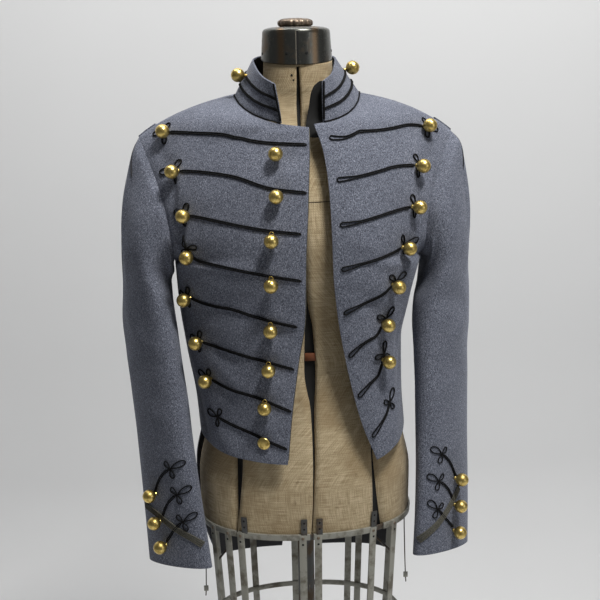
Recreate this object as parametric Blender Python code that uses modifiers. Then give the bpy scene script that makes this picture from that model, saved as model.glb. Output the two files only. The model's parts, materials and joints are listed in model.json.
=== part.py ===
"""Full-dress military coat on a limbless dress form, at real size.

The coat is modelled as a tailor cuts it: fronts, backs, tails, collar and sleeves, each a wall of its own.
All sizes in the tables are millimetres. The wearer faces -Y, so the wearer's right side is at -X.
The origin is on the floor, under the form's pole.
"""

import bpy
import bmesh
from math import atan2, ceil, cos, exp, hypot, pi, radians, sin
from mathutils import Matrix, Vector

MM = 0.001
UP = Vector((0.0, 0.0, 1.0))
RIGHT = -1
LEFT = 1
FRONT = -1
BACK = 1

# Driving dimensions, in millimetres. First the cloth and the room that its seams need.
CLOTH = 2.0
SEAM = 0.3
SHOULDER_SEAM = 0.6
ARMHOLE_SEAM = 1.5
COLLAR_WALL = 2.6
COLLAR_SEAM = 0.7
STRIPE_RISE = 1.6

# Cords on the cloth: the thick run, the thin loops at its ends and the braid on the cuff
TRIM_GAP = 0.6
CORD_WIDTH = 3.8
CORD_RISE = 1.8
CORD_TOP = 0.8          # width of a cord's top beside its foot
CORD_STEP = 19.0
LOOP_WIDTH = 1.8
LOOP_LENGTH = 27.0
LOOP_HALF = 2.6
LOOP_OUTLINE = (        # a loop's points: how far along it, and how far to the side
    (0.12, 1.0), (0.45, 1.0), (0.78, 1.0), (0.93, 0.7), (1.0, 0.0), (0.93, -0.7), (0.78, -1.0), (0.45, -1.0),
    (0.15, -1.0),
)
STEM = 7.0
TREFOIL_SIZES = (15.0, 17.0)    # of its side loops and of the one ahead
BARE_TREFOIL_SIZES = (13.0, 19.0)
CUFF_TREFOIL_SIZES = {"right": (12.5, 20.0), "left": (12.5, 19.0)}
TREFOIL_WAIST = 4.3
TREFOIL_TURNS = [45 + 22.5 * k for k in range(12)]
CHEVRON_WIDTH = 6.0
CHEVRON_RISE = 2.2
LINE_WIDTH = 2.8
LINE_RISE = 1.6
CUFF_STEP = 9.5

# Buttons
BALL_RADIUS = 9.6
SHANK_RADIUS = 2.0
SHANK_RISE = 2.6
SHANK_SUNK = 0.3
COLLAR_SHANK_RISE = 0.6
STRIPE_GAP = 0.1        # the room under a collar button, which sits on the narrow top of a stripe
FLAT_BUTTON_RADIUS = 9.0
FLAT_BUTTON_RISE = 3.8
FLAT_BUTTON_DOME = 0.7
FLAT_BUTTON_EDGE = 1.2
BUTTON_STEPS = 8
MOST_TIP = 0.35         # how far a button's weight tips it down, as a part of its length
SEAT_SLACK = 0.65

# The form: neck cap and knob, rim with its clips, cage, pole and base
NECK_TOP = 1444.1
NECK_SLOPE = 0.119      # how much lower the neck's end is in front, as a slope, and where that begins
NECK_SLOPE_FOOT = 1426.0
NECK_RINGS = (          # the cap and its knob from the top down: radius, height and shift to the side
    (9.0, 1500.0, -2.5),
    (20.0, 1498.8, -2.5),
    (24.4, 1495.5, -2.5),
    (24.0, 1490.0, -2.4),
    (33.0, 1488.5, -1.8),
    (43.5, 1486.0, -1.7),
    (46.3, 1483.0, -1.7),
    (48.9, 1444.7, -1.3),
)
NECK_STEPS = 20
RIM_TOP = 790.0
RIM_LOW = 778.6
RIM_WALL = 3.0
RIM_PLACE = 0.75        # the rim's height between the first two rings of the trunk
BOARD_TOP = 780.7
HOOP_HEIGHT = 600.0
HOOP_BAND = 8.0
HOOP_SUNK = 0.2
CAGE_LOW = 568.0
CAGE_TAPER = 0.915
STRAP_WIDTH = 10.5
STRAP_WALL = 2.5
STRAP_SUNK = 1.6
STRAP_SHORT = 1.0       # how far a strap stops below the rim's top
CLIP_WIDTH = 9.0
CLIP_WALL = 2.0
CLIP_RISE = 24.0
CLIP_FOOT = 3.0
CLIP_GAP = 0.9
CLIP_LEAN = 2.4
POLE_RADIUS = 12.5
POLE_TOP = 779.7
BASE_RADIUS = 170.0
BASE_EDGE = 9.0
BASE_DOME = ((POLE_RADIUS, 40.0), (24.0, 34.0), (60.0, 22.0), (158.0, 13.0))    # radius and height
BASE_STEPS = 20

# How finely a route is searched
ROUTE_STEPS = 200
FIND_ROUNDS = 6

# Panels. Each row runs across a panel from its front or centre edge to its side seam or armhole.
# x is measured outwards from the middle of the body. A reach is how far the row leaves each end straight,
# turn is the way it leaves the seam (0 inwards, 90 along the side), arch lifts its middle.
PANEL_COLUMNS = ("edge_x", "edge_y", "edge_z", "seam_x", "seam_y", "seam_z",
                 "edge_reach", "seam_reach", "seam_turn", "arch")
FRONT_RIGHT = (
    (33, -126, 903, 154, 25, 914, 70, 96, 90, 2),
    (27, -125, 966, 158, 25, 968, 75, 96, 90, 0),
    (16, -123, 1046, 169, 22, 1040, 85, 96, 90, 0),
    (6, -128, 1112, 177, 15, 1110, 92, 92, 90, 0),
    (5, -134, 1168, 180, 8, 1172, 96, 96, 90, 0),
    (4, -135, 1202, 179, -38, 1180, 92, 42, 66, 0),
    (1, -130, 1244, 181, -57, 1205, 86, 36, 55, 2),
    (-2, -119, 1290, 186, -57, 1240, 80, 34, 46, 4),
    (-5, -104, 1330, 195, -46, 1278, 76, 36, 38, 7),
    (-6, -90, 1359, 205, -32, 1305, 72, 42, 28, 10),
    (32, -80, 1364, 212, -20, 1322, 62, 40, 18, 12),
    (64, -54, 1374, 218, -9, 1336, 56, 40, 10, 16),
    (82, -22, 1387, 221, -1, 1342.5, 48, 38, 3, 17),
    (88, 5, 1397, 222, 6, 1344, 44, 36, 0, 12),
)
FRONT_LEFT = (
    (93, -111, 898, 150, 25, 930, 26, 92, 90, 2),
    (69, -118, 962, 147, 25, 978, 40, 90, 90, 0),
    (49, -121, 1046, 146, 22, 1046, 52, 92, 90, 0),
    (38, -126, 1110, 157, 15, 1112, 68, 92, 90, 0),
    (32, -133, 1168, 171, 8, 1172, 80, 96, 90, 0),
    (31, -134, 1202, 169, -38, 1180, 80, 42, 66, 0),
    (30, -130, 1244, 169, -62, 1205, 74, 32, 50, 2),
    (28, -118, 1290, 172, -65, 1240, 66, 32, 42, 4),
    (23, -104, 1330, 182, -52, 1278, 60, 36, 36, 7),
    (13, -88, 1363, 194, -36, 1305, 60, 42, 28, 10),
    (34, -78, 1365, 203, -22, 1322, 58, 40, 18, 12),
    (62, -54, 1373, 211, -10, 1336, 52, 40, 10, 16),
    (80, -22, 1387, 215, -1, 1343, 46, 38, 3, 17),
    (86, 5, 1398, 216, 6, 1344, 44, 36, 0, 12),
)
BACK_RIGHT = (
    (0, 112, 905, 154, 25, 914, 84, 62, 90, 0),
    (0, 106, 968, 158, 25, 968, 84, 62, 90, 0),
    (0, 104, 1046, 169, 22, 1040, 88, 74, 90, 0),
    (0, 110, 1112, 177, 15, 1110, 92, 86, 90, 0),
    (0, 116, 1172, 180, 8, 1172, 96, 92, 90, 0),
    (0, 118, 1208, 181, 38, 1182, 92, 40, 62, 0),
    (0, 117, 1248, 186, 55, 1212, 86, 34, 48, 2),
    (0, 112, 1292, 195, 55, 1252, 80, 34, 36, 4),
    (0, 103, 1332, 205, 43, 1290, 72, 36, 28, 6),
    (0, 88, 1374, 214, 28, 1318, 66, 38, 18, 9),
    (0, 73, 1404, 219, 17, 1334, 62, 40, 11, 12),
    (45, 63, 1404, 220.5, 11, 1341, 52, 38, 6, 13),
    (74, 38, 1401, 221.5, 8.5, 1343.5, 46, 37, 2, 12.5),
    (88, 5, 1397, 222, 6, 1344, 44, 36, 0, 12),
)
BACK_LEFT = (
    (0, 112, 905, 150, 25, 930, 84, 62, 90, 0),
    (0, 106, 968, 147, 25, 978, 80, 62, 90, 0),
    (0, 104, 1046, 146, 22, 1046, 80, 74, 90, 0),
    (0, 110, 1112, 157, 15, 1112, 86, 86, 90, 0),
    (0, 116, 1172, 171, 8, 1172, 92, 92, 90, 0),
    (0, 118, 1208, 172, 38, 1182, 88, 40, 62, 0),
    (0, 117, 1248, 177, 55, 1212, 82, 34, 48, 2),
    (0, 112, 1292, 186, 55, 1252, 76, 34, 36, 4),
    (0, 103, 1332, 197, 43, 1290, 70, 36, 28, 6),
    (0, 88, 1374, 207, 28, 1318, 64, 38, 18, 9),
    (0, 73, 1404, 213, 17, 1334, 60, 40, 11, 12),
    (44, 63, 1404, 214.5, 11, 1340, 50, 38, 6, 13),
    (72, 38, 1401, 215.5, 8.5, 1344.3, 45, 37, 2, 12.5),
    (86, 5, 1398, 216, 6, 1344, 44, 36, 0, 12),
)
UNDERARM = 4
FRONT_CORNER = 9
NECK_CORNER = 10
TOP_ROW = 13
PANEL_STEPS = 10

# Soft folds: a ridge, or with a minus sign a trough, from one place on a panel to another.
# across is 0 at the edge and 1 at the seam, up counts the table's rows, width and height are millimetres.
# A fold is lower at its ends, and none reaches the panel's own edges.
FOLD_COLUMNS = ("across", "up", "to_across", "to_up", "width", "height")
FOLD_END = 0.55         # its height at an end, as a part of that in its middle
PANEL_WIDTH = 200.0     # a panel's rough width and the rough height of a table row, for a fold's slope
ROW_HEIGHT = 45.0
EDGE_FADE = 6.0
FOLDS = {
    "front_right": (
        (0.80, 2.6, 0.76, 6.2, 14, 3.5),
        (0.66, 1.2, 0.80, 2.3, 16, 2.5),
        (0.30, 0.6, 0.62, 1.7, 20, -2.5),
        (0.42, 0.1, 0.66, 0.9, 18, 3.0),
    ),
    "front_left": (
        (0.60, 2.7, 0.72, 6.0, 13, 4.0),
        (0.82, 7.4, 0.76, 9.6, 12, -3.0),
        (0.45, 0.3, 0.62, 1.6, 18, 2.0),
    ),
    "back_right": ((0.55, 1.0, 0.80, 3.6, 22, 3.0), (0.30, 5.2, 0.80, 5.8, 20, -2.5)),
    "back_left": ((0.50, 1.2, 0.84, 3.4, 22, 3.0), (0.26, 5.4, 0.78, 5.9, 20, -2.5)),
}

# Collar: the top edge, over the same places as the neckline below it, from its right front end to its left
COLLAR_COLUMNS = ("x", "y", "z")
COLLAR_TOP = (
    (-38, -80, 1415),
    (-53, -53, 1425),
    (-60, -22, 1437),
    (-62, 6, 1445),
    (-53, 34, 1450),
    (-31, 53, 1452),
    (0, 60, 1453),
    (28, 53, 1452),
    (46, 34, 1451),
    (53, 6, 1447),
    (49.5, -22, 1439),
    (43, -51, 1428),
    (27, -79, 1417),
)
COLLAR_STARTS = (9.93, 9.66)
COLLAR_LEVELS = (0.0, 0.13, 0.26, 0.32, 0.38, 0.46, 0.55, 0.61, 0.67, 1.0)
STRIPE_LEVELS = (0.32, 0.61)
COLLAR_BUTTONS = {"right": (6.0, 0.61), "left": (19.0, 0.61)}

# Cords across the fronts: x and z of each route, from the button at its outer end to the front edge
CORDS_RIGHT = (
    ((-180, 1352), (-115, 1351), (-84, 1346), (-50, 1340), (2, 1337)),
    ((-167, 1303), (-120, 1301), (-89, 1296), (-48, 1283), (-1, 1277)),
    ((-156, 1246), (-122, 1241), (-88, 1235), (-55, 1230), (-10, 1225)),
    ((-156, 1195), (-143, 1184), (-98, 1178), (-55, 1171), (-11, 1163)),
    ((-158, 1129), (-126, 1123), (-100, 1121), (-74, 1114), (-17, 1099)),
    ((-145, 1067), (-111, 1062), (-75, 1054), (-22, 1039)),
    ((-134, 1014), (-119, 1009), (-76, 1000), (-27, 980)),
    ((-127, 961), (-105, 954), (-78, 946), (-34, 926)),
)
CORDS_LEFT = (
    ((171, 1352), (141, 1355), (95, 1351), (57, 1345), (32, 1345)),
    ((153, 1303), (123, 1304), (99, 1300), (70, 1295), (39, 1292)),
    ((144, 1250), (112, 1246), (70, 1238), (41, 1235)),
    ((129, 1197), (100, 1188), (65, 1181), (42, 1176)),
    ((114, 1148), (91, 1133), (57, 1120), (46, 1114)),
    ((102, 1094), (92, 1079), (76, 1072), (53, 1053)),
    ((102, 1042), (95, 1020), (82, 1011), (66, 995)),
    ((113, 976), (107, 962), (98, 950), (86, 934)),
)

# Buttons of the centre column, on the right front beside its cords: x and z. The last one is flat.
CENTRE_BUTTONS = (
    (-37, 1327), (-39, 1274), (-47, 1218), (-49, 1161), (-50, 1100), (-55, 1040), (-61, 987), (-64, 935),
)

# Sleeves: rings from the armhole to the cuff. lean is how far the ring's outer side is raised, nose how far
# its front is. long and short are half widths, turn is the way the flat sleeve faces, shape is 0 where the
# ring keeps the armhole's outline and 1 where it is a flattened tube with a crease in front.
SLEEVE_COLUMNS = ("x", "y", "z", "lean", "nose", "long", "short", "turn", "shape")
SLEEVE_RIGHT = (
    (206, 0, 1246, 73, 0, 84, 52, 90, 0.10),
    (211, 0, 1223, 66, 0, 76, 48, 84, 0.35),
    (217, 0, 1198, 55, 0, 70, 42, 78, 0.65),
    (220, -1, 1167, 38, 0, 67, 38, 76, 0.90),
    (220, -2, 1124, 16, 0, 67, 34, 72, 1.0),
    (219, -5, 1075, 4, 0, 68, 33, 67, 1.0),
    (216, -9, 1030, 0, 0, 67, 33, 65, 1.0),
    (211, -14, 980, 0, 2, 65, 33, 63, 1.0),
    (207, -20, 925, 0, 4, 63, 31, 60, 1.0),
    (203, -28, 870, 0, 6, 62, 29, 56, 1.0),
    (198, -38, 805, 0, 9, 60, 26, 50, 1.0),
    (192, -50, 727, 0, 13, 58, 23, 43, 1.0),
)
SLEEVE_LEFT = (
    (203, 0, 1246, 73, 0, 84, 52, 90, 0.10),
    (206, 0, 1222, 66, 0, 76, 48.5, 82, 0.35),
    (207.5, 0, 1192, 55, 0, 70, 45.5, 74, 0.65),
    (206.5, -1, 1160, 40, 0, 68, 43.5, 68, 0.90),
    (204.5, -2, 1122, 20, 0, 68, 40, 63, 1.0),
    (204, -5, 1075, 6, 0, 67, 38, 60, 1.0),
    (204, -9, 1030, 0, 0, 66, 34, 58, 1.0),
    (205, -14, 980, 0, 2, 65, 32, 56, 1.0),
    (205, -20, 925, 0, 4, 64, 30, 54, 1.0),
    (205, -28, 870, 0, 6, 63, 27, 51, 1.0),
    (204, -38, 805, 0, 9, 61, 25, 47, 1.0),
    (201, -50, 729, 0, 13, 59, 23, 42, 1.0),
)
ARMHOLE_LEAN = 76
CREASE_RISE = 0.10
CREASE_SPREAD = 0.38

# Cuffs. A spot is a turn round the sleeve, in hundreds of degrees from its outer side, and a row of the
# sleeve's table. Each line runs from its trefoil towards its button. The chevron is a band of three braids.
CUFFS = {
    "right": {
        "balls": ((0.46, 10.55), (0.47, 11.14), (0.564, 11.59)),
        "lines": (
            ((0.987, 9.82), (0.73, 10.14), (0.47, 10.46), (0.24, 10.60), (0.02, 10.76), (-0.16, 10.92)),
            ((1.046, 10.46), (0.83, 10.74), (0.66, 10.97), (0.56, 11.07)),
            ((1.094, 11.07), (0.92, 11.28), (0.76, 11.43), (0.61, 11.53)),
        ),
        "chevron": (
            (-0.223, 10.92), (0.13, 10.97), (0.489, 11.05), (0.77, 11.15), (0.952, 11.24), (1.152, 11.37),
            (1.29, 11.53),
        ),
    },
    "left": {
        "balls": ((0.646, 10.50), (0.647, 11.09), (0.617, 11.62)),
        "lines": (
            ((1.043, 9.78), (0.85, 10.10), (0.66, 10.41), (0.54, 10.50), (0.46, 10.62), (0.43, 10.78)),
            ((1.096, 10.45), (0.92, 10.69), (0.79, 10.88), (0.71, 11.00)),
            ((1.116, 11.09), (0.99, 11.30), (0.83, 11.45), (0.665, 11.55)),
        ),
        "chevron": (
            (0.40, 10.76), (0.60, 10.90), (0.809, 11.07), (1.008, 11.27), (1.193, 11.50), (1.341, 11.69),
        ),
    },
}

# Tails: rows from the waist down. in and out are the two long edges.
TAIL_COLUMNS = ("in_x", "in_y", "out_x", "out_y", "z", "in_reach", "out_reach")
TAIL = (
    (0.3, 113, 153, 42, 904.6, 84, 40),
    (6, 117, 163, 58, 850, 84, 38),
    (14, 120, 165, 70, 780, 78, 34),
    (22, 120, 154, 82, 715, 66, 28),
    (30, 118, 138, 92, 660, 54, 22),
)
TAIL_TURN = (0.55, 0.83)    # the way a tail leaves its outer edge: inwards and backwards
TAIL_STEPS_ACROSS = 9
TAIL_STEPS_DOWN = 8

# The form's trunk: rings from the bottom board to the top of the neck
TRUNK_COLUMNS = ("z", "half", "front", "back")
TRUNK = (
    (781, 155, 107, 103),
    (793, 156, 109, 105),
    (850, 157, 112, 108),
    (905, 147, 107, 104),
    (965, 134, 97, 95),
    (1030, 124, 90, 89),
    (1090, 132, 96, 92),
    (1150, 146, 110, 97),
    (1205, 153, 116, 102),
    (1265, 158, 104, 102),
    (1315, 160, 82, 90),
    (1345, 153.1, 67.0, 76.8),
    (1362, 135.1, 57.0, 66.8),
    (1376, 102.8, 49.8, 59.6),
    (1388, 72, 46, 54),
    (1398, 56, 45, 50),
    (1410, 50, 46, 48),
    (1426, 48, 46, 47),
    (NECK_TOP, 47, 46, 46),
)
TRUNK_SIDES = 32
TRUNK_RINGS = 20
TRUNK_SQUARENESS = 2.25

# The cage's straps and the rim's clips: x of each at the rim, on the front or the back
STRAPS = {
    FRONT: (-140, -119, -101, -13, 9, 90, 124),
    BACK: (-141, -82, -11, 81, 98, 143),
}
CLIPS = {FRONT: (-95, -11, 11, 91)}


def smooth(values, position, corner=0):
    """A value between evenly spaced ones, on a curve that never overshoots and may turn at one corner."""
    if corner and position > corner:
        values, position = values[corner:], position - corner
    elif corner:
        values = values[:corner + 1]
    last = len(values) - 1
    index = max(0, min(int(position), last - 1))
    steps = [b - a for a, b in zip(values, values[1:])]

    def slope(k):
        if k == 0 or k == last:
            return steps[0] if k == 0 else steps[-1]
        if steps[k - 1] * steps[k] <= 0:
            return 0.0
        return 2 * steps[k - 1] * steps[k] / (steps[k - 1] + steps[k])

    part = position - index
    rest = 1 - part
    start = (1 + 2 * part) * rest * rest * values[index] + part * rest * rest * slope(index)
    end = part * part * (3 - 2 * part) * values[index + 1] - part * part * rest * slope(index + 1)
    return start + end


def read(table, columns, position, corners={}):
    """A table's columns by name, at a place between its rows. corners gives the row where a column turns."""
    values = dict(zip(columns, zip(*table)))
    return {name: smooth(column, position, corners.get(name, 0)) for name, column in values.items()}


def bezier(a, b, c, d, part):
    rest = 1 - part
    return a * rest ** 3 + b * (3 * rest * rest * part) + c * (3 * rest * part * part) + d * part ** 3


def fold_height(folds, across, up):
    """How far the soft folds push a panel's point outwards."""
    total = 0.0
    for row in folds:
        fold = dict(zip(FOLD_COLUMNS, row))
        px, py = (across - fold["across"]) * PANEL_WIDTH, (up - fold["up"]) * ROW_HEIGHT
        run_x = (fold["to_across"] - fold["across"]) * PANEL_WIDTH
        run_y = (fold["to_up"] - fold["up"]) * ROW_HEIGHT
        along = max(0.0, min(1.0, (px * run_x + py * run_y) / (run_x ** 2 + run_y ** 2)))
        off = hypot(px - along * run_x, py - along * run_y) / fold["width"]
        total += fold["height"] * exp(-off * off) * (FOLD_END + (1 - FOLD_END) * sin(pi * along))
    return total


def panel_point(panel, across, up):
    """A point of a body panel. across runs from its edge to its seam, up from the hem to the shoulder."""
    side, facing = panel["side"], panel["facing"]
    row = read(panel["rows"], PANEL_COLUMNS, up, panel["corners"])
    edge = Vector((row["edge_x"], row["edge_y"], row["edge_z"]))
    seam = Vector((row["seam_x"], row["seam_y"], row["seam_z"]))
    rise = (seam.z - edge.z) / 3
    turn = radians(row["seam_turn"])
    # the two backs meet at the centre seam, so they leave it level
    level = max(0.0, min(1.0, up - NECK_CORNER)) if facing == BACK else 1.0
    leave_edge = Vector((row["edge_reach"], 0, level * (rise + row["arch"])))
    leave_seam = Vector((-row["seam_reach"] * cos(turn), facing * row["seam_reach"] * sin(turn),
                         row["arch"] - rise))
    point = bezier(edge, edge + leave_edge, seam + leave_seam, seam, across)
    away = Vector((point.x, point.y, 0)).normalized()
    inside = min(1.0, EDGE_FADE * across, EDGE_FADE * (1 - across))
    point += away * (fold_height(panel["folds"], across, up) * max(0.0, inside))
    return Vector((side * point.x, point.y, point.z))


def make_panel(name, rows, side, facing):
    neck = FRONT_CORNER if facing == FRONT else NECK_CORNER
    corners = {"edge_x": neck, "edge_y": neck, "edge_z": neck,
               "seam_x": UNDERARM, "seam_y": UNDERARM, "seam_z": UNDERARM}
    return {"name": name, "rows": rows, "side": side, "facing": facing, "folds": FOLDS[name],
            "corners": corners}


PANELS = {
    "front_right": make_panel("front_right", FRONT_RIGHT, RIGHT, FRONT),
    "front_left": make_panel("front_left", FRONT_LEFT, LEFT, FRONT),
    "back_right": make_panel("back_right", BACK_RIGHT, RIGHT, BACK),
    "back_left": make_panel("back_left", BACK_LEFT, LEFT, BACK),
}


def stations(corner):
    """Row positions of a panel: close together below the underarm and round the neck."""
    halves = [k / 2 for k in range(2 * UNDERARM)]
    wholes = [float(k) for k in range(UNDERARM, corner)]
    return halves + wholes + [corner + k / 2 for k in range(2 * (TOP_ROW - corner) + 1)]


FRONT_STATIONS = stations(FRONT_CORNER)
BACK_STATIONS = stations(NECK_CORNER)


def material(name, colour, roughness, metallic=0.0):
    made = bpy.data.materials.new(name)
    made.use_nodes = True
    shader = made.node_tree.nodes["Principled BSDF"]
    shader.inputs["Base Color"].default_value = (*colour, 1.0)
    shader.inputs["Roughness"].default_value = roughness
    shader.inputs["Metallic"].default_value = metallic
    made.diffuse_color = (*colour, 1.0)
    return made


def new_object(name, mesh, collection, *materials):
    made = bpy.data.objects.new(name, mesh)
    collection.objects.link(made)
    for one in materials:
        mesh.materials.append(one)
    return made


def grid_mesh(name, grid, closed=False):
    """An open surface through a grid of points. A closed one joins its last column to its first."""
    shape = bmesh.new()
    rows = [[shape.verts.new(point * MM) for point in row] for row in grid]
    columns = len(rows[0])
    for low, high in zip(rows, rows[1:]):
        for k in range(columns if closed else columns - 1):
            after = (k + 1) % columns
            shape.faces.new((low[k], low[after], high[after], high[k]))
    mesh = bpy.data.meshes.new(name)
    shape.to_mesh(mesh)
    shape.free()
    mesh.shade_smooth()
    return mesh


def face_outwards(mesh, outward):
    """Turns the surface so that its faces point the way that the function says, at the middle face."""
    face = mesh.polygons[len(mesh.polygons) // 2]
    if face.normal.dot(outward(face.center)) < 0:
        mesh.flip_normals()


def wall(name, grid, outward, thickness, collection, cloth, lining, closed=False):
    """A cloth wall: the outer surface is the grid, the thickness goes inwards, the inside is lined."""
    mesh = grid_mesh(name, grid, closed)
    face_outwards(mesh, outward)
    made = new_object(name, mesh, collection, cloth, lining)
    thick = made.modifiers.new("cloth", "SOLIDIFY")
    thick.thickness = thickness * MM
    thick.offset = -1.0
    thick.material_offset = 1
    return made


def from_axis(point):
    return Vector((point.x, point.y, 0))


def build_panel(panel, collection, cloth, lining):
    rows = FRONT_STATIONS if panel["facing"] == FRONT else BACK_STATIONS
    grid = []
    for up in rows:
        start = panel_point(panel, 0.0, up)
        width = (panel_point(panel, 1.0, up) - start).length
        trim_seam = SEAM / width
        trim_edge = trim_seam if panel["facing"] == BACK else 0.0
        line = []
        for k in range(PANEL_STEPS + 1):
            across = trim_edge + (1 - trim_edge - trim_seam) * k / PANEL_STEPS
            line.append(panel_point(panel, across, up))
        grid.append(line)
    # the shoulder seam, with room for the two walls where they meet
    for k, point in enumerate(grid[-1]):
        back_off = (grid[-2][k] - point).normalized()
        grid[-1][k] = point + back_off * SHOULDER_SEAM
    return wall(panel["name"], grid, from_axis, CLOTH, collection, cloth, lining)


def armhole(side):
    """The armhole's outline, from the shoulder down the front to the underarm and up the back."""
    front = PANELS["front_right" if side == RIGHT else "front_left"]
    back = PANELS["back_right" if side == RIGHT else "back_left"]
    down = [up for up in reversed(FRONT_STATIONS) if up >= UNDERARM]
    climb = [up for up in BACK_STATIONS if UNDERARM < up < TOP_ROW]
    return [panel_point(front, 1.0, up) for up in down] + [panel_point(back, 1.0, up) for up in climb]


def sleeve_frame(side, row):
    """The directions of a sleeve's ring: its outer side, its front and its way out of the armhole."""
    lean, nose = radians(row["lean"]), radians(row["nose"])
    outer = Vector((side * cos(lean), 0, sin(lean)))
    front = Vector((0, -cos(nose), sin(nose)))
    return outer, front, outer.cross(front).normalized() * side


def armhole_shape(side):
    """The armhole's outline measured in its own frame, and an even angle for each of its points."""
    loop = armhole(side)
    under = sum(1 for up in FRONT_STATIONS if up > UNDERARM)
    centre = (loop[0] + loop[under]) / 2
    outer, front, out_of = sleeve_frame(side, {"lean": ARMHOLE_LEAN, "nose": 0})
    shape = []
    for k, point in enumerate(loop):
        offset = point - centre
        even = pi * k / under if k <= under else pi + pi * (k - under) / (len(loop) - under)
        shape.append((offset.dot(outer), offset.dot(front), offset.dot(out_of), even))
    return centre, shape


def ring_radius(row, angle):
    """A flattened ring's radius, with the crease at its front end. angle is 0 outside and 90 in front."""
    off = angle - radians(180 - row["turn"])
    off = (off + pi) % (2 * pi) - pi
    radius = 1 / hypot(cos(off) / row["long"], sin(off) / row["short"])
    return radius * (1 + CREASE_RISE * exp(-(off / CREASE_SPREAD) ** 2))


def sleeve_ring(sleeve, along):
    """A ring of the sleeve. along counts the table's rows, from the armhole at 0."""
    side, table = sleeve["side"], sleeve["rows"]
    centre, shape = armhole_shape(side)
    first = (abs(centre.x), centre.y, centre.z, ARMHOLE_LEAN, 0) + tuple(table[0][5:8]) + (0.0,)
    row = read((first,) + tuple(table), SLEEVE_COLUMNS, along)
    outer, front, out_of = sleeve_frame(side, row)
    middle = Vector((side * row["x"], row["y"], row["z"]))
    ring = []
    keep = 1 - row["shape"]
    for p, q, depth, even in shape:
        angle = keep * (atan2(q, p) % (2 * pi)) + row["shape"] * even
        radius = ring_radius(row, angle)
        flat_p = keep * p + row["shape"] * radius * cos(angle)
        flat_q = keep * q + row["shape"] * radius * sin(angle)
        ring.append(middle + outer * flat_p + front * flat_q + out_of * (keep * depth))
    if along == 0:
        ring = [point + out_of * ARMHOLE_SEAM for point in ring]
    return ring


SLEEVES = {
    "sleeve_right": {"name": "sleeve_right", "side": RIGHT, "rows": SLEEVE_RIGHT},
    "sleeve_left": {"name": "sleeve_left", "side": LEFT, "rows": SLEEVE_LEFT},
}


def build_sleeve(sleeve, collection, cloth, lining):
    count = len(sleeve["rows"])
    grid = [sleeve_ring(sleeve, float(k)) for k in range(count + 1)]
    middle = sum(grid[count // 2], Vector()) / len(grid[0]) * MM

    def outward(point):
        return from_axis(point) - from_axis(middle)

    return wall(sleeve["name"], grid, outward, CLOTH, collection, cloth, lining, closed=True)


def neckline():
    """The neckline from the collar's right front end, round the back, to its left front end."""
    points = []
    for side_name, start in (("right", COLLAR_STARTS[0]), ("left", COLLAR_STARTS[1])):
        front, back = PANELS["front_" + side_name], PANELS["back_" + side_name]
        half = [panel_point(front, 0.0, start)]
        half += [panel_point(front, 0.0, up) for up in FRONT_STATIONS if up > start]
        round_back = [up for up in reversed(BACK_STATIONS) if NECK_CORNER <= up < TOP_ROW]
        half += [panel_point(back, 0.0, up) for up in round_back]
        points.append(half)
    return points[0] + points[1][-2::-1]


def collar_point(place, level):
    """A point of the collar. place counts the neckline's points from the right front end, level runs up."""
    base = neckline()
    last = len(base) - 1
    index = max(0, min(int(place), last - 1))
    low = base[index].lerp(base[index + 1], place - index)
    top = Vector(read(COLLAR_TOP, COLLAR_COLUMNS, (len(COLLAR_TOP) - 1) * place / last).values())
    return (low + UP * COLLAR_SEAM).lerp(top, level)


def on_stripe(place, level):
    """The point of a raised stripe at this place of the collar."""
    point = collar_point(place, level)
    return point + from_axis(point).normalized() * STRIPE_RISE


def build_collar(collection, cloth, lining):
    grid = []
    for level in COLLAR_LEVELS:
        at = on_stripe if level in STRIPE_LEVELS else collar_point
        grid.append([at(float(k), level) for k in range(len(neckline()))])
    return wall("collar", grid, from_axis, COLLAR_WALL, collection, cloth, lining)


def tail_point(side, across, down):
    row = read(TAIL, TAIL_COLUMNS, down)
    inner = Vector((row["in_x"], row["in_y"], row["z"]))
    outer = Vector((row["out_x"], row["out_y"], row["z"]))
    leave_out = Vector((-TAIL_TURN[0], TAIL_TURN[1], 0)) * row["out_reach"]
    point = bezier(inner, inner + Vector((row["in_reach"], 0, 0)), outer + leave_out, outer, across)
    return Vector((side * point.x, point.y, point.z))


def build_tail(name, side, collection, cloth, lining):
    grid = []
    for j in range(TAIL_STEPS_DOWN + 1):
        down = (len(TAIL) - 1) * j / TAIL_STEPS_DOWN
        grid.append([tail_point(side, k / TAIL_STEPS_ACROSS, down) for k in range(TAIL_STEPS_ACROSS + 1)])
    return wall(name, grid, from_axis, CLOTH, collection, cloth, lining)


def trunk_ring(row, count):
    """A ring of the form's trunk, rounder than a box and fuller than an ellipse."""
    ring = []
    power = 2 / TRUNK_SQUARENESS
    slope = NECK_SLOPE * max(0.0, (row["z"] - NECK_SLOPE_FOOT) / (NECK_TOP - NECK_SLOPE_FOOT))
    for k in range(count):
        turn = 2 * pi * k / count
        c, s = cos(turn), sin(turn)
        depth = row["back"] if s > 0 else row["front"]
        x = row["half"] * abs(c) ** power * (1 if c > 0 else -1)
        y = depth * abs(s) ** power * (1 if s > 0 else -1)
        ring.append(Vector((x, y, row["z"] + slope * y)))
    return ring


def closed_rings(name, rings):
    """A solid through rings, closed by a flat face at each end."""
    shape = bmesh.new()
    loops = [[shape.verts.new(point * MM) for point in ring] for ring in rings]
    count = len(loops[0])
    for low, high in zip(loops, loops[1:]):
        for k in range(count):
            shape.faces.new((low[k], low[(k + 1) % count], high[(k + 1) % count], high[k]))
    shape.faces.new(list(reversed(loops[0])))
    shape.faces.new(loops[-1])
    bmesh.ops.recalc_face_normals(shape, faces=shape.faces)
    mesh = bpy.data.meshes.new(name)
    shape.to_mesh(mesh)
    shape.free()
    mesh.shade_smooth()
    mesh.set_sharp_from_angle(angle=radians(50))
    return mesh


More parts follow.
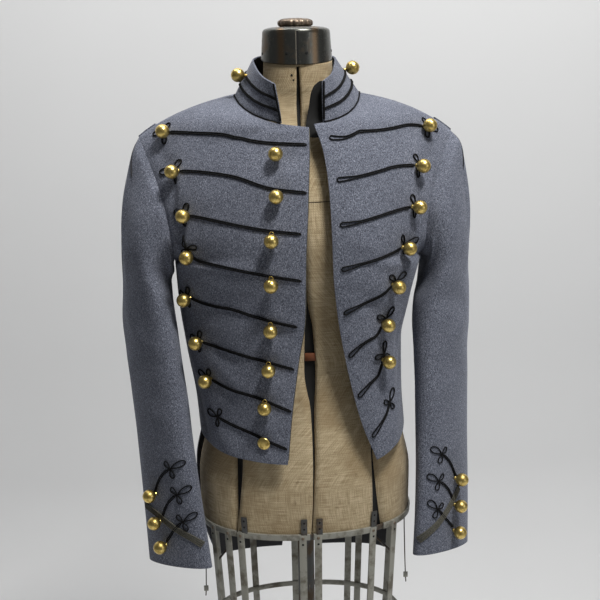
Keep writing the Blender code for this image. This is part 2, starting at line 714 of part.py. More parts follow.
def build_torso(collection, jersey):
    rings = []
    for k in range(TRUNK_RINGS + 1):
        place = (len(TRUNK) - 1) * k / TRUNK_RINGS
        rings.append(trunk_ring(read(TRUNK, TRUNK_COLUMNS, place), TRUNK_SIDES))
    return new_object("form_torso", closed_rings("form_torso", rings), collection, jersey)


def nearest_sum(first, second, target):
    """How much of two vectors adds up nearest to a third one."""
    ff, fs, ss = first.dot(first), first.dot(second), second.dot(second)
    scale = ff * ss - fs * fs
    ft, st = first.dot(target), second.dot(target)
    return (ft * ss - st * fs) / scale, (st * ff - ft * fs) / scale


# Spots spread over a front, from which a point of it is looked for
FRONT_SPOTS = [(k / 8, up) for k in range(1, 9) for up in range(TOP_ROW + 1)]


class Surface:
    """Cloth that a trim is laid on. A spot is a pair of places, and at gives its point.

    away leads roughly outwards from a point. seat gives the point of the wall's own flat face.
    """

    NUDGE = 0.01

    def __init__(self, at, away, seat=None):
        self.at = at
        self.away = away
        self.seat = seat or at

    def tangents(self, spot):
        u, v = spot
        first = self.at(u + self.NUDGE, v) - self.at(u - self.NUDGE, v)
        second = self.at(u, v + self.NUDGE) - self.at(u, v - self.NUDGE)
        return first / (2 * self.NUDGE), second / (2 * self.NUDGE)

    def normal(self, spot):
        first, second = self.tangents(spot)
        out = first.cross(second).normalized()
        return out if out.dot(self.away(self.at(*spot))) > 0 else -out

    def moved(self, spot, offset):
        """The spot that lies an offset, in millimetres, away along the cloth."""
        a, b = nearest_sum(*self.tangents(spot), offset)
        return (spot[0] + a, spot[1] + b)

    def find(self, x, z, starts):
        """The spot with this x and z, from the nearest of some starting spots."""
        def miss(spot):
            point = self.at(*spot)
            return hypot(point.x - x, point.z - z)

        spot = min(starts, key=miss)
        for _ in range(FIND_ROUNDS):
            first, second = (Vector((t.x, 0, t.z)) for t in self.tangents(spot))
            point = self.at(*spot)
            a, b = nearest_sum(first, second, Vector((x - point.x, 0, z - point.z)))
            spot = (spot[0] + a, spot[1] + b)
        return spot


def cell(stops, place):
    """The two stops that a place lies between, and how far it is from one to the other."""
    index = max(0, min(sum(1 for stop in stops if stop <= place), len(stops) - 1) - 1)
    low, high = stops[index], stops[index + 1]
    return low, high, (place - low) / (high - low)


def panel_surface(panel):
    """The cloth that trims lie on: the panel's curve, or its flat faces where they stand further out."""
    rows = FRONT_STATIONS if panel["facing"] == FRONT else BACK_STATIONS
    columns = [k / PANEL_STEPS for k in range(PANEL_STEPS + 1)]

    def seat(across, up):
        low, high, climb = cell(rows, up)
        near, far, over = cell(columns, across)
        under = panel_point(panel, near, low).lerp(panel_point(panel, far, low), over)
        above = panel_point(panel, near, high).lerp(panel_point(panel, far, high), over)
        return under.lerp(above, climb)

    def at(across, up):
        curve = panel_point(panel, across, up)
        out = from_axis(curve).normalized()
        return curve + out * max(0.0, (seat(across, up) - curve).dot(out))

    return Surface(at, from_axis, seat)


def sleeve_point(sleeve, turn, along):
    """A point of a sleeve's lower half. turn is 0 on the outer side and 90 in front."""
    side = sleeve["side"]
    row = read(((0.0,) * len(SLEEVE_COLUMNS),) + tuple(sleeve["rows"]), SLEEVE_COLUMNS, along)
    outer, front, _ = sleeve_frame(side, row)
    radius = ring_radius(row, radians(turn))
    middle = Vector((side * row["x"], row["y"], row["z"]))
    return middle + outer * (radius * cos(radians(turn))) + front * (radius * sin(radians(turn)))


def sleeve_surface(sleeve):
    """The cuff's cloth. Its spots hold a turn in hundreds of degrees, so that both places change alike."""
    side = sleeve["side"]
    last = sleeve["rows"][-1]
    middle = Vector((side * last[0], last[1], 0))

    def at(turn, along):
        return sleeve_point(sleeve, 100 * turn, along)

    def away(point):
        return from_axis(point) - middle

    return Surface(at, away)


def route_spot(spots, place):
    """A spot on the smooth curve through the route's own spots."""
    last = len(spots) - 1
    index = max(0, min(int(place), last - 1))
    part = place - index
    before, start, end, after = (Vector(spots[max(0, min(index + k, last))]) for k in (-1, 0, 1, 2))
    leave, arrive = (end - before) / 6, (after - start) / 6
    return tuple(bezier(start, start + leave, end - arrive, end, part))


def even_spots(surface, spots, begin, finish, step):
    """Spots along a route, about a step apart."""
    start, end = route_spot(spots, begin), route_spot(spots, finish)
    steps = max(2, ceil((surface.at(*end) - surface.at(*start)).length / step))
    return [route_spot(spots, begin + (finish - begin) * k / steps) for k in range(steps + 1)]


def route_place(surface, spots, distance, from_end=False):
    """The place along a route that is a straight distance from its start, or from its end."""
    fine = [(len(spots) - 1) * k / ROUTE_STEPS for k in range(ROUTE_STEPS + 1)]
    if from_end:
        fine.reverse()
    start = surface.at(*route_spot(spots, fine[0]))
    for place in fine:
        if (surface.at(*route_spot(spots, place)) - start).length >= distance:
            return place
    return fine[-1]


def trefoil(surface, foot, towards, sizes):
    """Spots of a thin cord laid in three loops round a foot, clear of the cord that leads to it."""
    beside, ahead = sizes
    out = surface.normal(foot)
    stem = surface.at(*towards) - surface.at(*foot)
    stem = (stem - out * stem.dot(out)).normalized()
    side = out.cross(stem)
    spots = []
    for turn in reversed(TREFOIL_TURNS):
        size = ahead if 135 < turn < 225 else beside
        radius = TREFOIL_WAIST + (size - TREFOIL_WAIST) * sin(2 * radians(turn - TREFOIL_TURNS[0])) ** 2
        offset = stem * (radius * cos(radians(turn))) + side * (radius * sin(radians(turn)))
        spots.append(surface.moved(foot, offset))
    return spots


def end_loop(surface, start, tip):
    """Spots of a narrow loop from the end of a cord to its tip and back."""
    out = surface.normal(start)
    reach = surface.at(*tip) - surface.at(*start)
    length = reach.length
    ahead = reach.normalized()
    side = out.cross(ahead)
    spots = []
    for part, wide in LOOP_OUTLINE:
        spots.append(surface.moved(start, ahead * (length * part) + side * (LOOP_HALF * wide)))
    return spots


def ribbon(name, surface, stations, rise, gap=TRIM_GAP):
    """A flat cord on cloth, as a mesh. A station is a spot and a width."""
    points = [surface.at(*spot) for spot, _ in stations]
    rings = []
    for k, (spot, width) in enumerate(stations):
        ahead = points[min(k + 1, len(points) - 1)] - points[max(k - 1, 0)]
        out = surface.normal(spot)
        side = out.cross(ahead).normalized() * (width / 2)
        low, high = points[k] + out * gap, points[k] + out * (gap + rise)
        rings.append([low - side, low + side, high + side * CORD_TOP, high - side * CORD_TOP])
    return closed_rings(name, rings)


def build_cord(name, side_name, route, sizes, collection, black):
    """A cord across a front, with its trefoil, and on the left front with the loop that takes the button."""
    looped = side_name == "left"
    surface = panel_surface(PANELS["front_" + side_name])
    spots = [surface.find(x, z, FRONT_SPOTS) for x, z in route]
    begin = route_place(surface, spots, STEM)
    finish = route_place(surface, spots, LOOP_LENGTH, from_end=True) if looped else len(spots) - 1.0
    run = even_spots(surface, spots, begin, finish, CORD_STEP)
    stations = [(spot, LOOP_WIDTH) for spot in trefoil(surface, spots[0], run[0], sizes)]
    stations += [(spot, CORD_WIDTH) for spot in run]
    if looped:
        stations += [(spot, LOOP_WIDTH) for spot in end_loop(surface, run[-1], spots[-1])]
    return new_object(name, ribbon(name, surface, stations, CORD_RISE), collection, black)


def build_cords(collection, black):
    for side_name, routes in (("right", CORDS_RIGHT), ("left", CORDS_LEFT)):
        for k, route in enumerate(routes):
            sizes = BARE_TREFOIL_SIZES if k == len(routes) - 1 else TREFOIL_SIZES
            build_cord(f"row_{side_name}_{k + 1}", side_name, route, sizes, collection, black)


def profile_mesh(name, outline, paint):
    """A profile for a turned piece: radius and height of its points, in millimetres, top to bottom."""
    shape = bmesh.new()
    points = [shape.verts.new(Vector((radius, 0, height)) * MM) for radius, height in outline]
    for a, b in zip(points, points[1:]):
        shape.edges.new((a, b))
    mesh = bpy.data.meshes.new(name)
    shape.to_mesh(mesh)
    shape.free()
    mesh.materials.append(paint)
    return mesh


def turned(name, profile, steps, collection):
    made = new_object(name, profile, collection)
    screw = made.modifiers.new("turned", "SCREW")
    screw.steps = steps
    screw.render_steps = steps
    screw.use_merge_vertices = True
    screw.merge_threshold = 0.00001
    screw.use_smooth_shade = True
    return made


def ball_outline(rise):
    """A ball button on its shank, from the top of the ball to the foot. rise is the shank's length."""
    middle = rise + BALL_RADIUS
    outline = [(0.0, middle + BALL_RADIUS)]
    for turn in (45, 90, 135):
        outline.append((BALL_RADIUS * sin(radians(turn)), middle + BALL_RADIUS * cos(radians(turn))))
    return outline + [(SHANK_RADIUS, rise + SHANK_SUNK), (SHANK_RADIUS, 0.0), (0.0, 0.0)]


def flat_outline():
    """A flat domed button on its shank."""
    top = SHANK_RISE + FLAT_BUTTON_RISE
    dome = [(0.0, top), (FLAT_BUTTON_RADIUS * 0.6, top - FLAT_BUTTON_DOME)]
    edge = [(FLAT_BUTTON_RADIUS, SHANK_RISE + FLAT_BUTTON_EDGE), (FLAT_BUTTON_RADIUS, SHANK_RISE)]
    return dome + edge + [(SHANK_RADIUS, SHANK_RISE), (SHANK_RADIUS, 0.0), (0.0, 0.0)]


def sew_on(name, profile, surface, spot, collection, gap=TRIM_GAP):
    """A button with its foot on the cloth. Its own weight tips it a little where the cloth faces upwards."""
    out = surface.normal(spot)
    tipped = (out - UP * max(0.0, min(out.z, MOST_TIP))).normalized()
    seat = surface.seat(*spot)
    proud = (surface.at(*spot) - seat).dot(out)
    lift = gap + SHANK_RADIUS * out.cross(tipped).length + max(0.0, proud - SEAT_SLACK)
    button = turned(name, profile, BUTTON_STEPS, collection)
    button.location = (seat + out * lift) * MM
    button.rotation_mode = "QUATERNION"
    button.rotation_quaternion = tipped.to_track_quat("Z", "Y")
    return button


def build_buttons(collection, ball, brass):
    flat = profile_mesh("flat button", flat_outline(), brass)
    for side_name, routes in (("right", CORDS_RIGHT), ("left", CORDS_LEFT)):
        surface = panel_surface(PANELS["front_" + side_name])
        for k, route in enumerate(routes[:-1]):
            spot = surface.find(*route[0], FRONT_SPOTS)
            sew_on(f"button_outer_{side_name}_{k + 1}", ball, surface, spot, collection)
    surface = panel_surface(PANELS["front_right"])
    for k, (x, z) in enumerate(CENTRE_BUTTONS):
        kind = flat if k == len(CENTRE_BUTTONS) - 1 else ball
        sew_on(f"button_centre_{k + 1}", kind, surface, surface.find(x, z, FRONT_SPOTS), collection)
    near = profile_mesh("collar ball button", ball_outline(COLLAR_SHANK_RISE), brass)
    collar = Surface(on_stripe, from_axis)
    for side_name, spot in COLLAR_BUTTONS.items():
        sew_on("button_collar_" + side_name, near, collar, spot, collection, STRIPE_GAP)


def union(target, pieces):
    """Joins overlapping pieces to a target as one body. The pieces are kept as hidden cutters."""
    joined = target.modifiers.new("joined", "BOOLEAN")
    joined.operation = "UNION"
    joined.solver = "EXACT"
    joined.operand_type = "COLLECTION"
    joined.collection = pieces


def hidden_collection(name, parent):
    made = bpy.data.collections.new(name)
    parent.children.link(made)
    return made


def hide(made):
    made.hide_render = True
    made.display_type = "WIRE"
    return made


def build_cuff(side_name, cutters, collection, black, ball):
    surface = sleeve_surface(SLEEVES["sleeve_" + side_name])
    cuff = CUFFS[side_name]
    chevron = even_spots(surface, cuff["chevron"], 0.0, len(cuff["chevron"]) - 1.0, CUFF_STEP)
    band = [(spot, CHEVRON_WIDTH) for spot in chevron]
    name = "cuff_trim_" + side_name
    trim = new_object(name, ribbon(name, surface, band, CHEVRON_RISE), collection, black)
    lines = hidden_collection(name + " lines", cutters)
    for k, line in enumerate(cuff["lines"]):
        begin = route_place(surface, line, STEM)
        loops = trefoil(surface, line[0], route_spot(line, begin), CUFF_TREFOIL_SIZES[side_name])
        run = even_spots(surface, line, begin, len(line) - 1.0, CUFF_STEP)
        stations = [(spot, LOOP_WIDTH) for spot in loops] + [(spot, LINE_WIDTH) for spot in run]
        hide(new_object(f"{name} line {k + 1}", ribbon(name, surface, stations, LINE_RISE), lines, black))
        sew_on(f"button_cuff_{side_name}_{k + 1}", ball, surface, cuff["balls"][k], collection)
    union(trim, lines)


def outline_point(x, side, out, taper=1.0):
    """A point of the rim's outer face at an x on its front or back, and the level way out of it."""
    row = read(TRUNK, TRUNK_COLUMNS, RIM_PLACE)
    half = row["half"] + SEAM + RIM_WALL
    depth = (row["front"] if side == FRONT else row["back"]) + SEAM + RIM_WALL
    y = side * depth * (1 - abs(x / half) ** TRUNK_SQUARENESS) ** (1 / TRUNK_SQUARENESS)
    power = TRUNK_SQUARENESS - 1
    slope_x = abs(x / half) ** power / half * (1 if x > 0 else -1)
    slope_y = abs(y / depth) ** power / depth * side
    away = Vector((slope_x, slope_y, 0)).normalized()
    return Vector((x * taper, y * taper, 0)) + away * out, away


def plate(name, low, high, out, size, collection, steel):
    """A flat bar from one point to another, with its width and wall given and its face turned outwards."""
    along = (high - low).normalized()
    across = along.cross(out).normalized()
    facing = across.cross(along)
    width, thickness = size
    shape = bmesh.new()
    frame = Matrix((across * width * MM, facing * thickness * MM, (high - low) * MM)).transposed().to_4x4()
    frame.translation = (low + high) / 2 * MM
    bmesh.ops.create_cube(shape, size=1.0, matrix=frame)
    bmesh.ops.recalc_face_normals(shape, faces=shape.faces)
    mesh = bpy.data.meshes.new(name)
    shape.to_mesh(mesh)
    shape.free()
    return new_object(name, mesh, collection, steel)


def rim_ring(z, out, taper=1.0):
    row = read(TRUNK, TRUNK_COLUMNS, RIM_PLACE)
    for name in ("half", "front", "back"):
        row[name] = (row[name] + out) * taper
    row["z"] = z
    return trunk_ring(row, TRUNK_SIDES)


def cage_taper(z):
    return 1 + (CAGE_TAPER - 1) * (RIM_TOP - z) / (RIM_TOP - CAGE_LOW)


def build_stand(cutters, collection, steel):
    """The form's rim with its cage of straps, and the pole on its round base."""
    face = SEAM + RIM_WALL
    outside = [rim_ring(RIM_LOW, face), rim_ring(RIM_TOP, face)]
    rings = outside + [rim_ring(RIM_TOP, SEAM), rim_ring(BOARD_TOP, SEAM)]
    stand = new_object("form_stand", closed_rings("form_stand", rings), collection, steel)
    pieces = hidden_collection("stand pieces", cutters)
    taper = cage_taper(HOOP_HEIGHT)
    edges = (HOOP_HEIGHT - HOOP_BAND / 2, HOOP_HEIGHT + HOOP_BAND / 2)
    hoop_rings = [rim_ring(z, face - HOOP_SUNK, taper) for z in edges]
    hide(wall("hoop", hoop_rings, from_axis, RIM_WALL, pieces, steel, steel, closed=True))
    middle = STRAP_WALL / 2 - STRAP_SUNK
    for side, places in STRAPS.items():
        for x in places:
            high, away = outline_point(x, side, middle)
            low, _ = outline_point(x, side, middle, CAGE_TAPER)
            high.z, low.z = RIM_TOP - STRAP_SHORT, CAGE_LOW
            hide(plate("strap", low, high, away, (STRAP_WIDTH, STRAP_WALL), pieces, steel))
    for side, places in CLIPS.items():
        for x in places:
            point, away = outline_point(x, side, 0.0)
            point += away * (CLIP_WALL / 2 - RIM_WALL + CLIP_GAP)
            low = point + UP * (RIM_TOP - CLIP_FOOT)
            high = point + away * CLIP_LEAN + UP * (RIM_TOP + CLIP_RISE)
            hide(plate("clip", low, high, away, (CLIP_WIDTH, CLIP_WALL), pieces, steel))
    pole = [(0.0, POLE_TOP), (POLE_RADIUS, POLE_TOP)]
    outline = pole + list(BASE_DOME) + [(BASE_RADIUS, BASE_EDGE), (BASE_RADIUS, 0.0), (0.0, 0.0)]
    hide(turned("pole and base", profile_mesh("pole and base", outline, steel), BASE_STEPS, pieces))
    union(stand, pieces)


def build_neck(collection, steel):
    """The form's metal neck cap with its turning knob. The cap's lower edge follows the neck's slope."""
    rings = []
    for k, (radius, height, shift) in enumerate(NECK_RINGS):
        slope = NECK_SLOPE if k == len(NECK_RINGS) - 1 else 0.0
        ring = []
        for step in range(NECK_STEPS):
            turn = 2 * pi * step / NECK_STEPS
            x, y = radius * cos(turn), radius * sin(turn)
            ring.append(Vector((x + shift, y, height + slope * y)))
        rings.append(ring)
    return new_object("form_neck", closed_rings("form_neck", rings), collection, steel)


def main():
    for old in list(bpy.data.objects):
        bpy.data.objects.remove(old, do_unlink=True)
    coat = bpy.data.collections.new("military_coat_on_dress_form")
    cutters = bpy.data.collections.new("cutters")
    for group in (coat, cutters):
        bpy.context.scene.collection.children.link(group)
    wool = material("blue grey wool", (0.135, 0.16, 0.225), 0.9)
    lining = material("black lining", (0.012, 0.012, 0.014), 0.7)
    jersey = material("beige jersey", (0.52, 0.42, 0.28), 0.85)
    black = material("black cord", (0.01, 0.01, 0.011), 0.75)
    brass = material("gilt brass", (0.70, 0.50, 0.16), 0.3, 1.0)
    steel = material("gunmetal", (0.20, 0.21, 0.23), 0.4, 1.0)
    for panel in PANELS.values():
        build_panel(panel, coat, wool, lining)
    for sleeve in SLEEVES.values():
        build_sleeve(sleeve, coat, wool, lining)
    build_collar(coat, wool, lining)
    build_tail("tail_right", RIGHT, coat, wool, lining)
    build_tail("tail_left", LEFT, coat, wool, lining)
    build_torso(coat, jersey)
    ball = profile_mesh("ball button", ball_outline(SHANK_RISE), brass)
    build_cords(coat, black)
    build_buttons(coat, ball, brass)
    for side_name in CUFFS:
        build_cuff(side_name, cutters, coat, black, ball)
    build_neck(coat, steel)
    build_stand(cutters, coat, steel)


main()
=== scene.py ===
# %% [markdown]
# # A full-dress coat on a dress form
#
# The coat is a short one of heathered blue-grey wool, with a standing collar, tails at the back,
# black cord across the chest and gilt ball buttons. It hangs open on a jersey-covered dress form
# with a metal cage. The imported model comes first. Every piece below is made in the same metres and
# the same place as its solid, and then stands for that solid.

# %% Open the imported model
import json
from functools import lru_cache
from math import acos, atan2, cos, exp, hypot, pi, radians, sin

import bmesh
import bpy
from mathutils import Matrix, Vector

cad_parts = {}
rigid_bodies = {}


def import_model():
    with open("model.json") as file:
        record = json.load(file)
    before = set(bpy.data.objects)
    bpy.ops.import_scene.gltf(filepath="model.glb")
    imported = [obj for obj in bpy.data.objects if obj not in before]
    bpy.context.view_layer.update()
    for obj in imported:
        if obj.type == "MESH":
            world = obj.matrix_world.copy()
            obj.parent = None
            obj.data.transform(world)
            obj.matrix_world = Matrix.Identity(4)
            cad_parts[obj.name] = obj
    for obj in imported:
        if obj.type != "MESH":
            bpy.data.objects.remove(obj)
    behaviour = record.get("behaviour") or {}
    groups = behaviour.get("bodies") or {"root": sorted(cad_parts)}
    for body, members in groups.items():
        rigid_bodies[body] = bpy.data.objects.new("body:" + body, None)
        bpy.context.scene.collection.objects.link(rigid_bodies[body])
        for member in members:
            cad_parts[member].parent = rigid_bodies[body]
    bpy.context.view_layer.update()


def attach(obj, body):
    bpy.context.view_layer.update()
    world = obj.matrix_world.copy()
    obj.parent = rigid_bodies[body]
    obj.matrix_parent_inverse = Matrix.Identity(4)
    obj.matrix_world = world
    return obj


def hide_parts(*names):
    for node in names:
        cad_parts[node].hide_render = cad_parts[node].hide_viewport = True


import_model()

# %% [markdown]
# ## Camera
#
# The picture was taken from chest height, a little to the wearer's right and looking slightly down,
# so the camera stands there. The three turns are its heading, its tilt and a small roll.

# %% Camera
CAMERA_PLACE = (-0.1162, -1.4453, 1.4534)
CAMERA_HEADING = -4.5
CAMERA_TILT = 76.5
CAMERA_ROLL = -1.0
CAMERA_LENS = 61.68


def turn(degrees, axis):
    return Matrix.Rotation(radians(degrees), 4, axis)


camera = bpy.data.objects.new("camera", bpy.data.cameras.new("camera"))
bpy.context.scene.collection.objects.link(camera)
camera.data.lens = CAMERA_LENS
camera.matrix_world = (Matrix.Translation(CAMERA_PLACE) @ turn(CAMERA_HEADING, "Z")
                       @ turn(CAMERA_TILT, "X") @ turn(CAMERA_ROLL, "Z"))
bpy.context.scene.camera = camera

# %% [markdown]
# ## The cut of the coat
#
# A tailor drafts a coat from a few measured lines. So does this script: each row of a table crosses
# a panel from its front or centre edge to its side seam or armhole, and smooth curves join the
# rows. The tables are the ones that the solids were made from, in millimetres, so the fine cloth
# lies on its solid. The wearer faces -Y and the wearer's right side is at -X.

# %% Tables of the panels
MM = 0.001
UP = Vector((0.0, 0.0, 1.0))
RIGHT, LEFT = -1, 1
FRONT, BACK = -1, 1
PANEL_COLUMNS = ("edge_x", "edge_y", "edge_z", "seam_x", "seam_y", "seam_z",
                 "edge_reach", "seam_reach", "seam_turn", "arch")
FRONT_RIGHT = (
    (33, -126, 903, 154, 25, 914, 70, 96, 90, 2),
    (27, -125, 966, 158, 25, 968, 75, 96, 90, 0),
    (16, -123, 1046, 169, 22, 1040, 85, 96, 90, 0),
    (6, -128, 1112, 177, 15, 1110, 92, 92, 90, 0),
    (5, -134, 1168, 180, 8, 1172, 96, 96, 90, 0),
    (4, -135, 1202, 179, -38, 1180, 92, 42, 66, 0),
    (1, -130, 1244, 181, -57, 1205, 86, 36, 55, 2),
    (-2, -119, 1290, 186, -57, 1240, 80, 34, 46, 4),
    (-5, -104, 1330, 195, -46, 1278, 76, 36, 38, 7),
    (-6, -90, 1359, 205, -32, 1305, 72, 42, 28, 10),
    (32, -80, 1364, 212, -20, 1322, 62, 40, 18, 12),
    (64, -54, 1374, 218, -9, 1336, 56, 40, 10, 16),
    (82, -22, 1387, 221, -1, 1342.5, 48, 38, 3, 17),
    (88, 5, 1397, 222, 6, 1344, 44, 36, 0, 12),
)
FRONT_LEFT = (
    (93, -111, 898, 150, 25, 930, 26, 92, 90, 2),
    (69, -118, 962, 147, 25, 978, 40, 90, 90, 0),
    (49, -121, 1046, 146, 22, 1046, 52, 92, 90, 0),
    (38, -126, 1110, 157, 15, 1112, 68, 92, 90, 0),
    (32, -133, 1168, 171, 8, 1172, 80, 96, 90, 0),
    (31, -134, 1202, 169, -38, 1180, 80, 42, 66, 0),
    (30, -130, 1244, 169, -62, 1205, 74, 32, 50, 2),
    (28, -118, 1290, 172, -65, 1240, 66, 32, 42, 4),
    (23, -104, 1330, 182, -52, 1278, 60, 36, 36, 7),
    (13, -88, 1363, 194, -36, 1305, 60, 42, 28, 10),
    (34, -78, 1365, 203, -22, 1322, 58, 40, 18, 12),
    (62, -54, 1373, 211, -10, 1336, 52, 40, 10, 16),
    (80, -22, 1387, 215, -1, 1343, 46, 38, 3, 17),
    (86, 5, 1398, 216, 6, 1344, 44, 36, 0, 12),
)
BACK_RIGHT = (
    (0, 112, 905, 154, 25, 914, 84, 62, 90, 0),
    (0, 106, 968, 158, 25, 968, 84, 62, 90, 0),
    (0, 104, 1046, 169, 22, 1040, 88, 74, 90, 0),
    (0, 110, 1112, 177, 15, 1110, 92, 86, 90, 0),
    (0, 116, 1172, 180, 8, 1172, 96, 92, 90, 0),
    (0, 118, 1208, 181, 38, 1182, 92, 40, 62, 0),
    (0, 117, 1248, 186, 55, 1212, 86, 34, 48, 2),
    (0, 112, 1292, 195, 55, 1252, 80, 34, 36, 4),
    (0, 103, 1332, 205, 43, 1290, 72, 36, 28, 6),
    (0, 88, 1374, 214, 28, 1318, 66, 38, 18, 9),
    (0, 73, 1404, 219, 17, 1334, 62, 40, 11, 12),
    (45, 63, 1404, 220.5, 11, 1341, 52, 38, 6, 13),
    (74, 38, 1401, 221.5, 8.5, 1343.5, 46, 37, 2, 12.5),
    (88, 5, 1397, 222, 6, 1344, 44, 36, 0, 12),
)
BACK_LEFT = (
    (0, 112, 905, 150, 25, 930, 84, 62, 90, 0),
    (0, 106, 968, 147, 25, 978, 80, 62, 90, 0),
    (0, 104, 1046, 146, 22, 1046, 80, 74, 90, 0),
    (0, 110, 1112, 157, 15, 1112, 86, 86, 90, 0),
    (0, 116, 1172, 171, 8, 1172, 92, 92, 90, 0),
    (0, 118, 1208, 172, 38, 1182, 88, 40, 62, 0),
    (0, 117, 1248, 177, 55, 1212, 82, 34, 48, 2),
    (0, 112, 1292, 186, 55, 1252, 76, 34, 36, 4),
    (0, 103, 1332, 197, 43, 1290, 70, 36, 28, 6),
    (0, 88, 1374, 207, 28, 1318, 64, 38, 18, 9),
    (0, 73, 1404, 213, 17, 1334, 60, 40, 11, 12),
    (44, 63, 1404, 214.5, 11, 1340, 50, 38, 6, 13),
    (72, 38, 1401, 215.5, 8.5, 1344.3, 45, 37, 2, 12.5),
    (86, 5, 1398, 216, 6, 1344, 44, 36, 0, 12),
)
UNDERARM = 4
FRONT_CORNER = 9
NECK_CORNER = 10
TOP_ROW = 13

# %% [markdown]
# ## Curves through a table
#
# A spline that overshoots would make the cloth bulge between two rows. This one keeps every value
# between its neighbours, and it may turn sharply at one row, as a neckline does where the shoulder
# seam meets it.

# %% Read a table smoothly
def smooth(values, position, corner=0):
    """A value between even ones, on a curve that never overshoots and may turn at one corner."""
    if corner and position > corner:
        values, position = values[corner:], position - corner
    elif corner:
        values = values[:corner + 1]
    last = len(values) - 1
    index = max(0, min(int(position), last - 1))
    steps = [b - a for a, b in zip(values, values[1:])]

    def slope(k):
        if k == 0 or k == last:
            return steps[0] if k == 0 else steps[-1]
        if steps[k - 1] * steps[k] <= 0:
            return 0.0
        return 2 * steps[k - 1] * steps[k] / (steps[k - 1] + steps[k])

    part = position - index
    rest = 1 - part
    start = (1 + 2 * part) * rest * rest * values[index] + part * rest * rest * slope(index)
    end = part * part * (3 - 2 * part) * values[index + 1] - part * part * rest * slope(index + 1)
    return start + end


def read(table, columns, position, corners={}):
    """A table's columns by name, between its rows. corners gives the row where a column turns."""
    values = dict(zip(columns, zip(*table)))
    return {name: smooth(column, position, corners.get(name, 0)) for name, column in values.items()}


def bezier(a, b, c, d, part):
    rest = 1 - part
    return a * rest ** 3 + b * (3 * rest * rest * part) + c * (3 * rest * part * part) + d * part ** 3

# %% [markdown]
# ## Folds and creases
#
# Melton is thick, so it bends in a few soft folds instead of many small ones. The largest are in
# the solids. The finer ones are listed here: pulls between the buttons, the break in front
# of each armhole and the buckled lower fronts. Each is a ridge, or with a minus sign a trough,
# along a short line.

# %% Folds of the body panels
FOLD_COLUMNS = ("across", "up", "to_across", "to_up", "width", "height")
FOLD_END = 0.55         # its height at an end, as a part of that in its middle
PANEL_WIDTH = 200.0     # a panel's rough width and the rough height of a table row, for a fold's slope
ROW_HEIGHT = 45.0
EDGE_FADE = 6.0
FOLDS = {
    "front_right": (
        (0.80, 2.6, 0.76, 6.2, 14, 3.5),
        (0.66, 1.2, 0.80, 2.3, 16, 2.5),
        (0.30, 0.6, 0.62, 1.7, 20, -2.5),
        (0.42, 0.1, 0.66, 0.9, 18, 3.0),
    ),
    "front_left": (
        (0.60, 2.7, 0.72, 6.0, 13, 4.0),
        (0.82, 7.4, 0.76, 9.6, 12, -3.0),
        (0.45, 0.3, 0.62, 1.6, 18, 2.0),
    ),
    "back_right": ((0.55, 1.0, 0.80, 3.6, 22, 3.0), (0.30, 5.2, 0.80, 5.8, 20, -2.5)),
    "back_left": ((0.50, 1.2, 0.84, 3.4, 22, 3.0), (0.26, 5.4, 0.78, 5.9, 20, -2.5)),
}

